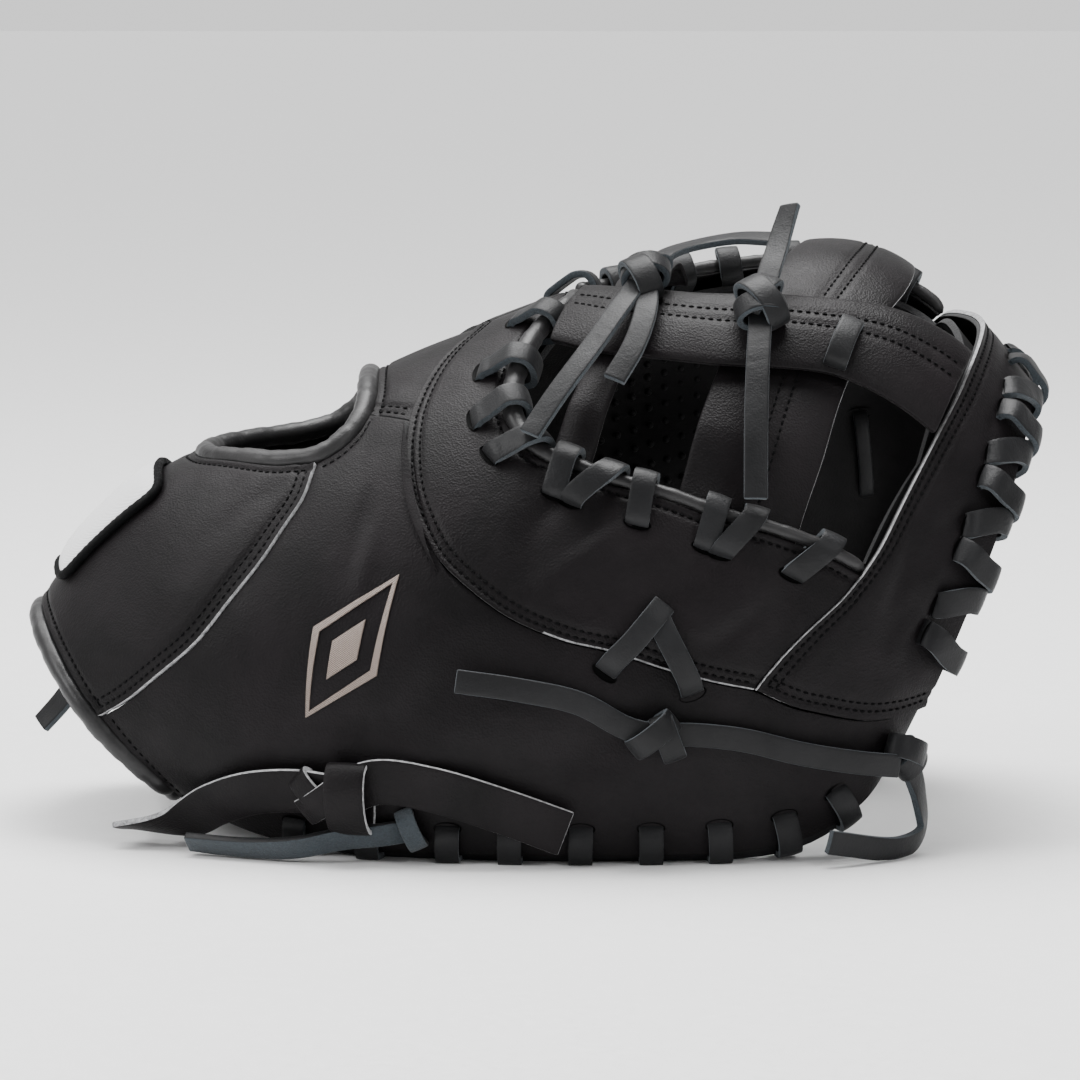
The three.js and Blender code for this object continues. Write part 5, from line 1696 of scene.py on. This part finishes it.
# (along, around, out) on the palm, in millimetres
LINING_LACE = (
    (0.868, 0.775, 1.2), (0.869, 0.779, -3.2), (0.882, 0.812, -3.8), (0.896, 0.843, -3.2),
    (0.898, 0.847, 1.2),
)
WRIST_LACE = (
    (0.020, 0.240, -0.62, 0, 0), (0.000, 0.236, -0.90, -0.6, -0.2), (0.000, 0.230, -1.25, -1.4, -0.7),
    (0.000, 0.226, -1.35, -2.0, -1.2),
)


@dataclass
class LooseLaces:
    """The knotted and hanging ends of lace, and the heel strap."""

    eyelets: Eyelets

    def build(self) -> None:
        """Makes every loose end with its knot."""
        self.heel()
        self.knots()
        self.cross()
        self.staples()
        self.lining()

    def heel(self) -> None:
        """Makes the heel strap with its knot, and the lace beside it."""
        strap = [LooseEnd(rows, 14.0) for rows in HEEL_STRAP]
        bands = strap[0].knot((
            KnotBand(6, 10.4, 4.6, 12.5, -4.0),
            KnotBand(-48, 9.2, 3.6, 9.0, 3.0),
            KnotBand(52, 8.0, 3.0, 7.0, 6.0),
        ))
        lace_piece(
            "heel_strap_thong", ["heel_strap"], [strap[0].thong(4, -34), strap[1].thong(-4), *bands], 60, 1.8,
            Finish.PALE_EDGE, 1.0, Finish.WEB,
        )
        lace = LooseEnd(HEEL_LACE)
        ring = lace.knot((KnotBand(14, 5.4, 3.4, 5.6, 1.0),))
        lace_piece(
            "heel_lace_thong", ["heel_lace"], [lace.thong(-10), *ring], 48, 2.6, Finish.LACE, 1.4,
            Finish.LACE_EDGE,
        )

    def knots(self) -> None:
        """Makes the laces that end in a knot with loose ends."""
        self.knotted("thumb_lace", THUMB_LACE, (4, -6), (
            KnotBand(34, 6.2, 3.0, shift=-3.0),
            KnotBand(-38, 7.2, 4.0, shift=1.5),
        ))
        self.knotted("tip_lace", (TIP_LACE,), (0,), (
            KnotBand(25, 5.2, 3.2),
            KnotBand(-45, 6.0, 4.2, shift=-2.5),
        ), 1.1)
        self.knotted("crotch_lace", CROTCH_LACE, (8, -6, 5), (
            KnotBand(22, 6.6, 4.4, 7.6, -2.0),
            KnotBand(-44, 8.2, 5.4, 7.6, 2.0),
            KnotBand(70, 7.0, 3.4, 6.5, -4.0),
        ))
        self.knotted("post_lace", POST_LACE, (5, -25), (
            KnotBand(12, 7.0, 4.4, 7.2, 2.0),
            KnotBand(-52, 8.8, 5.4, 7.4, -1.0),
            KnotBand(64, 7.2, 3.6, 6.4, -3.5),
        ))

    def cross(self) -> None:
        """Makes the lace that crosses the thumb seam, with its two holes."""
        thongs = [LooseEnd(rows).thong() for rows in CROSS_LACE]
        lace_piece("cross_lace_thong", ["cross_lace"], thongs, 40, 2.3)
        for rows, above in ((CROSS_LACE[0], EYELET_OUT), (CROSS_LACE[1][::-1], 0.45)):
            ends = np.array([row[:2] for row in rows[:2]])
            first, second = Hide.shell(ends)
            out = Hide.axes(ends, Hide.shell)[2][0]
            self.pierce(first + out * above, unit(first - second), out, 0.7)

    def staples(self) -> None:
        """Makes the short laces that go in at both ends."""
        lace_piece("post_loop_thong", ["post_loop"], [LooseEnd(POST_LOOP).thong()], 40, 2.2)
        lace_piece("wrist_lace_thong", ["wrist_lace"], [LooseEnd(WRIST_LACE).thong(12)], 30, 2.4)

    def lining(self) -> None:
        """Makes the short lace on the inner leather, with its two holes."""
        rows = np.array(LINING_LACE)
        ups = -Hide.axes(rows[:, :2], Hide.inner)[2]
        path = Hide.on_palm(rows[:, :2], rows[:, 2])
        lace_piece("lining_lace", [], [Thong(path, ups, 4.5)], 24, 1.6)
        for end, beyond in ((1, 0), (3, 4)):
            self.pierce(path[end] - ups[end] * 0.6, path[beyond] - path[2], ups[end], 1.0)

    def pierce(self, at: Points, towards: Points, out: Points, shift: float) -> None:
        """Adds a hole a little way from a point, towards where the lace goes."""
        side = unit(towards - out * (towards @ out))
        self.eyelets.places.append((at + side * shift, out, side))

    @staticmethod
    def knotted(
        name: str, routes: Sequence[Shares], rolls: Sequence[float], bands: Sequence[KnotBand],
        floor: float | None = None,
    ) -> None:
        """Makes loose ends that leave one knot.

        Args:
            name: The solid's name.
            routes: The routes of the ends.
            rolls: How far each end turns about itself, in degrees.
            bands: The knot's turns of lace.
            floor: The lowest that the lace's middle may lie.
        """
        ends = [LooseEnd(rows) for rows in routes]
        thongs = [end.thong(roll) for end, roll in zip(ends, rolls)]
        lace_piece(name + "_thong", [name], [*thongs, *ends[0].knot(bands)], 48, 2.1, floor=floor)


# Web


@dataclass
class Band:
    """A padded band of the web between two edges, with folded sides."""

    node: str
    lower: Edge
    upper: Edge
    under: float
    thick: float
    arch: float
    columns: int
    rows: int
    round_by: float
    seam_rows: tuple[float, ...] = ()
    pale: bool = False
    reach: tuple[float, float] = (0.0, 0.0)
    tuck: float = 2.9

    @staticmethod
    def beyond(line: Edge, s: Points) -> Places:
        """Places on a line, which runs on straight past its ends."""
        start, end = (line(np.array([t]))[0] for t in (0.0, 1.0))
        first, last = (start - line(np.array([0.04]))[0]) / 0.04, (end - line(np.array([0.96]))[0]) / 0.04
        before, after = np.clip(-s, 0, None)[..., None], np.clip(s - 1, 0, None)[..., None]
        return line(np.clip(s, 0, 1)) + first * before + last * after

    def tucked(self, s: Points) -> Points:
        """How far the band is lowered where it goes under its neighbours, from 0 to 1."""
        lowered = np.zeros(s.shape)
        for reach, inward in zip(self.reach, (s, 1 - s)):
            if reach:
                share = np.clip((0.10 - inward) / (0.10 + reach * 0.4), 0, 1)
                lowered = np.maximum(lowered, share * share * (3 - 2 * share))
        return lowered

    def build(self, stitching: Stitching) -> bpy.types.Object:
        """Makes the band and its stitched rows."""
        s = np.linspace(-self.reach[0], 1 + self.reach[1], self.columns + 1)
        t = np.linspace(0, 1, self.rows + 1)
        s, t = np.meshgrid(s, t, indexing="ij")
        place = self.beyond(self.lower, s) * (1 - t[..., None]) + self.beyond(self.upper, s) * t[..., None]
        points = Hide.shell(place)
        up = lengths_along(points, 1)
        height = self.under + self.thick - self.arch + self.arch * np.sin(math.pi * t) ** 0.5
        height = height + 0.35 * np.sin(s * 23 + 2 * t) * np.sin(math.pi * t) * np.sin(math.pi * s)
        height = height - self.tuck * self.tucked(s)
        for share in self.seam_rows:
            height = height - 0.45 * np.exp(-(((up - share * up[:, -1:]) / 0.9) ** 2))
        outer = to_metres(Hide.on_shell(place, height))
        ups = Hide.axes(place, Hide.shell)[2]
        bm = bmesh.new()
        grid_into(bm, outer, lambda i, j: 2 if self.pale and j == self.rows - 1 else 0)
        face_out(bm, ups[self.columns // 2, self.rows // 2])
        piece = finish_piece(
            bm, self.node + "_leather", [Finish.WEB, Finish.WEB, Finish.WEB, Finish.PALE_EDGE], [self.node],
        )
        thicken(piece, self.thick - self.arch * 0.7, -1, self.round_by, 4)
        for share in self.seam_rows:
            line = np.array([[np.interp(share * up[i, -1], up[i], outer[i, :, c]) for c in range(3)]
                             for i in range(2, self.columns - 1)])
            stitching.lines.append(SeamLine(line, ups[2:-2, self.rows // 2][: len(line)]))
        return piece


def web_bands() -> list[Band]:
    """The post and its two crossbars."""
    return [
        Band(
            "web_post", edge(POST_LOWER_EDGE), edge(POST_UPPER_EDGE), 0.95, 5.0, 2.0, 110, 24, 1.5,
            (0.54, 0.70),
        ),
        Band(
            "small_crossbar", edge(SMALL_BAR_WRIST_EDGE), edge(SMALL_BAR_TIP_EDGE), -3.0, 3.4, 1.6, 90, 16,
            1.2, reach=(0.07, 0.05),
        ),
        Band(
            "wide_crossbar", edge(WIDE_BAR_WRIST_EDGE), edge(WIDE_BAR_TIP_EDGE), -3.0, 3.0, 0.9, 100, 28, 0.7,
            (0.52, 0.62), True, (0.07, 0.04),
        ),
    ]


# Small dressings


@dataclass
class Patch:
    """The plain patch on the wrist strap: a white field in a black rolled edge."""

    low: float = 1.95
    thick: float = 2.2
    border: float = 1.5
    corners: tuple[tuple[float, float], tuple[float, float]] = ((0.045, 0.402), (0.200, 0.610))

    def place(self, s: Points, t: Points) -> Places:
        """The places at shares of the patch."""
        (a0, v0), (a1, v1) = self.corners
        return np.stack([a0 + (a1 - a0) * s, v0 + (v1 - v0) * t], -1)

    def field(self) -> None:
        """Makes the padded white field."""
        s, t = np.meshgrid(np.linspace(0.02, 0.98, 33), np.linspace(0.02, 0.98, 41), indexing="ij")
        inside = np.minimum.reduce([s, 1 - s, t, 1 - t]) * 40
        rise = self.low + self.thick - 0.9 + 2.0 * (1 - np.exp(-inside / 3.0))
        bm = bmesh.new()
        grid_into(bm, to_metres(Hide.on_shell(self.place(s, t), rise)))
        face_out(bm, (0, 0, 1))
        piece = finish_piece(bm, "patch_field", [Finish.PATCH_FIELD, Finish.PATCH_EDGE], ["patch"])
        thicken(piece, self.thick, -1, 0.3)

    def rolled_edge(self) -> None:
        """Makes the thick stitched edge round the field."""
        turn = np.linspace(0, 2 * math.pi, 181)[:-1]
        square = 0.22
        s = 0.5 + 0.5 * np.sign(np.cos(turn)) * np.abs(np.cos(turn)) ** square
        t = 0.5 + 0.5 * np.sign(np.sin(turn)) * np.abs(np.sin(turn)) ** square
        ring = evenly(np.stack([np.append(s, s[0]), np.append(t, t[0])], 1), 161)[:-1]
        place = self.place(ring[:, 0], ring[:, 1])
        path = ring_smoothed(Hide.on_shell(place, self.low + self.thick - 1.1), 2)
        bm = bmesh.new()
        radii = self.border * (1 + 0.08 * np.sin(np.arange(160) * 2.6)) * MM
        tube_into(bm, to_metres(path), Hide.axes(place, Hide.shell)[2], radii, True, 12)
        finish_piece(bm, "patch_rolled_edge", [Finish.THREAD], [])

    def build(self) -> None:
        """Makes the field and its edge."""
        self.field()
        self.rolled_edge()


@dataclass
class Lozenge:
    """A plain embroidered lozenge on the thumb side."""

    along: float = 0.326
    around: float = 0.155
    out: float = 1.25
    turn: float = 38.0

    def outline(self, bm: bmesh.types.BMesh, long: float, wide: float, band: float) -> None:
        """Adds a lozenge ring, or a full lozenge where the band is wide.

        Args:
            bm: The mesh.
            long: Half its length in millimetres.
            wide: Half its width.
            band: The width of its border.
        """
        part = bmesh.new()
        made = bmesh.ops.create_circle(part, cap_ends=True, segments=4, radius=1.0)
        for vert in made["verts"]:
            vert.co = Vector((vert.co.x * long, vert.co.y * wide, 0))
        part.normal_update()
        if band < min(long, wide) * 0.7:
            inner = bmesh.ops.inset_region(part, faces=list(part.faces), use_boundary=True, thickness=band)
            ring = set(inner["faces"])
            bmesh.ops.delete(part, geom=[face for face in part.faces if face not in ring], context="FACES")
        bmesh.ops.subdivide_edges(part, edges=part.edges, cuts=7, use_grid_fill=True)
        centre = np.array([[self.along, self.around]])
        forward, over, _ = (v[0] for v in Hide.axes(centre, Hide.shell))
        origin = Hide.shell(centre)[0]
        step = 0.01
        by_along = (Hide.shell(centre + [[step, 0]])[0] - origin) / step
        by_around = (Hide.shell(centre + [[0, step]])[0] - origin) / step
        grid = np.array([[by_along @ forward, by_around @ forward], [by_along @ over, by_around @ over]])
        turned = Matrix.Rotation(math.radians(self.turn), 2)
        flat = np.array([turned @ v.co.xy for v in part.verts])
        place = centre + flat @ np.linalg.inv(grid).T
        dent = dented(place, Hide.shell(place))
        for vert, at in zip(list(part.verts), to_metres(Hide.on_shell(place, self.out + dent))):
            vert.co = at
        for face in part.faces:
            face.smooth = True
        join_into(bm, part)

    def build(self) -> None:
        """Makes the ring and its middle."""
        bm = bmesh.new()
        self.outline(bm, 24.0, 13.0, 2.6)
        self.outline(bm, 10.0, 5.0, 9.0)
        bm.normal_update()
        if sum(face.normal.y for face in bm.faces) > 0:
            bmesh.ops.reverse_faces(bm, faces=bm.faces)
        piece = finish_piece(bm, "lozenge_embroidery", [Finish.SATIN, Finish.SATIN])
        thicken(piece, 0.9, -1, 0.25)


@dataclass
class PocketStuds:
    """Rows of small raised knots on the inside of the finger stalls."""

    radius: float = 1.25
    height: float = 1.0
    pitch: float = 0.0165

    def build(self) -> None:
        """Makes the studs on the pocket side of the palm."""
        bm = bmesh.new()
        size = Matrix.Diagonal((self.radius * MM, self.radius * MM, self.height * MM, 1))
        for along in np.arange(0.585, 0.700, self.pitch):
            for around in np.arange(0.685, 0.835, self.pitch):
                place = np.array([[along, around]])
                at = Hide.on_palm(place, -PALM_LEATHER)[0]
                out = -Hide.axes(place, Hide.inner)[2][0]
                turn = Vector(out).to_track_quat("Z", "Y").to_matrix().to_4x4()
                stud = Matrix.Translation(to_metres(at)) @ turn @ size
                bmesh.ops.create_uvsphere(bm, u_segments=10, v_segments=6, radius=1, matrix=stud)
        for face in bm.faces:
            face.smooth = True
        finish_piece(bm, "pocket_studs", [Finish.LINING])


# Surroundings


@dataclass(frozen=True)
class Lamp:
    """A soft square light: its place and side in metres, and its power in watts."""

    name: str
    at: tuple[float, float, float]
    size: float
    watts: float


LAMPS = (
    Lamp("top_light", (0.10, 0.20, 1.25), 0.8, 26.0),
    Lamp("left_light", (-1.2, -0.5, 0.9), 0.5, 12.0),
    Lamp("front_light", (0.9, -1.3, 1.2), 0.5, 7.0),
)


@dataclass
class Studio:
    """A pale floor, soft light and the camera at the photograph's angle."""

    distance: float = 1.6
    elevation: float = 8.0
    target: tuple[float, float, float] = (0.00117, -0.00483, 0.0866)
    lens: float = 170.94
    sky_strength: float = 1.1

    def build(self) -> None:
        """Makes the floor, the lights and the camera."""
        self.floor()
        self.sky()
        self.sun((-0.25, 0.30, 1.0), 4.2, 60.0)
        for lamp in LAMPS:
            self.lamp(lamp)
        self.camera()

    @staticmethod
    def floor() -> None:
        """Makes the pale floor."""
        bm = bmesh.new()
        bmesh.ops.create_grid(bm, x_segments=1, y_segments=1, size=6.0)
        mesh = bpy.data.meshes.new("floor")
        bm.to_mesh(mesh)
        bm.free()
        mesh.materials.append(RubberFinish("floor_paint", (0.90, 0.90, 0.90), (0.92, 0.92, 0.92)).material())
        floor = bpy.data.objects.new("floor", mesh)
        bpy.context.scene.collection.objects.link(floor)

    def camera(self) -> None:
        """Sets the camera."""
        camera = bpy.data.cameras.new("camera")
        camera.lens = self.lens
        camera.sensor_width = 36.0
        camera.clip_start = 0.05
        camera.clip_end = 50
        view = bpy.data.objects.new("camera", camera)
        tilt = math.radians(self.elevation)
        target = Vector(self.target)
        view.location = target + Vector((0, -math.cos(tilt), math.sin(tilt))) * self.distance
        view.rotation_euler = (target - view.location).to_track_quat("-Z", "Y").to_euler()
        bpy.context.scene.collection.objects.link(view)
        bpy.context.scene.camera = view

    @staticmethod
    def sun(towards: tuple[float, float, float], strength: float, softness: float) -> None:
        """Adds a wide soft light from far above, which falls on the whole floor.

        Args:
            towards: The direction that it comes from.
            strength: Its strength.
            softness: How wide it is, in degrees.
        """
        data = bpy.data.lights.new("ceiling_light", "SUN")
        data.energy = strength
        data.angle = math.radians(softness)
        light = bpy.data.objects.new("ceiling_light", data)
        light.rotation_euler = (-Vector(towards)).to_track_quat("-Z", "Y").to_euler()
        bpy.context.scene.collection.objects.link(light)

    def sky(self) -> None:
        """A white room: bright near the horizon, dimmer above it."""
        world = bpy.data.worlds.new("studio")
        world.use_nodes = True
        tree = world.node_tree
        coords = tree.nodes.new("ShaderNodeTexCoord")
        split = tree.nodes.new("ShaderNodeSeparateXYZ")
        ramp = tree.nodes.new("ShaderNodeValToRGB")
        ramp.color_ramp.elements[0].position = 0.16
        ramp.color_ramp.elements[0].color = (1, 1, 1, 1)
        ramp.color_ramp.elements[1].position = 0.5
        ramp.color_ramp.elements[1].color = (0.10, 0.10, 0.10, 1)
        tree.links.new(coords.outputs["Generated"], split.inputs["Vector"])
        tree.links.new(split.outputs["Z"], ramp.inputs["Fac"])
        tree.links.new(ramp.outputs["Color"], tree.nodes["Background"].inputs["Color"])
        tree.nodes["Background"].inputs["Strength"].default_value = self.sky_strength
        bpy.context.scene.world = world

    @staticmethod
    def lamp(lamp: Lamp) -> None:
        """Adds a soft square light that looks at the mitt."""
        data = bpy.data.lights.new(lamp.name, "AREA")
        data.size = lamp.size
        data.energy = lamp.watts
        light = bpy.data.objects.new(lamp.name, data)
        light.location = lamp.at
        light.rotation_euler = (Vector((0, 0, 0.08)) - Vector(lamp.at)).to_track_quat("-Z", "Y").to_euler()
        bpy.context.scene.collection.objects.link(light)


def main() -> None:
    """Builds the mitt and its surroundings."""
    logging.basicConfig(level=logging.INFO, format="%(message)s")
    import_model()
    Studio().build()
    stitching = Stitching()
    for panel in panels():
        panel.build(stitching)
    for band in web_bands():
        band.build(stitching)
    stitching.build("seam_stitches")
    PalmLeather().build()
    Bindings().build()
    eyelets = Eyelets()
    Lacing(eyelets).build()
    LooseLaces(eyelets).build()
    eyelets.build()
    Patch().build()
    Lozenge().build()
    PocketStuds().build()
    bpy.context.view_layer.update()


if __name__ == "__main__":
    main()
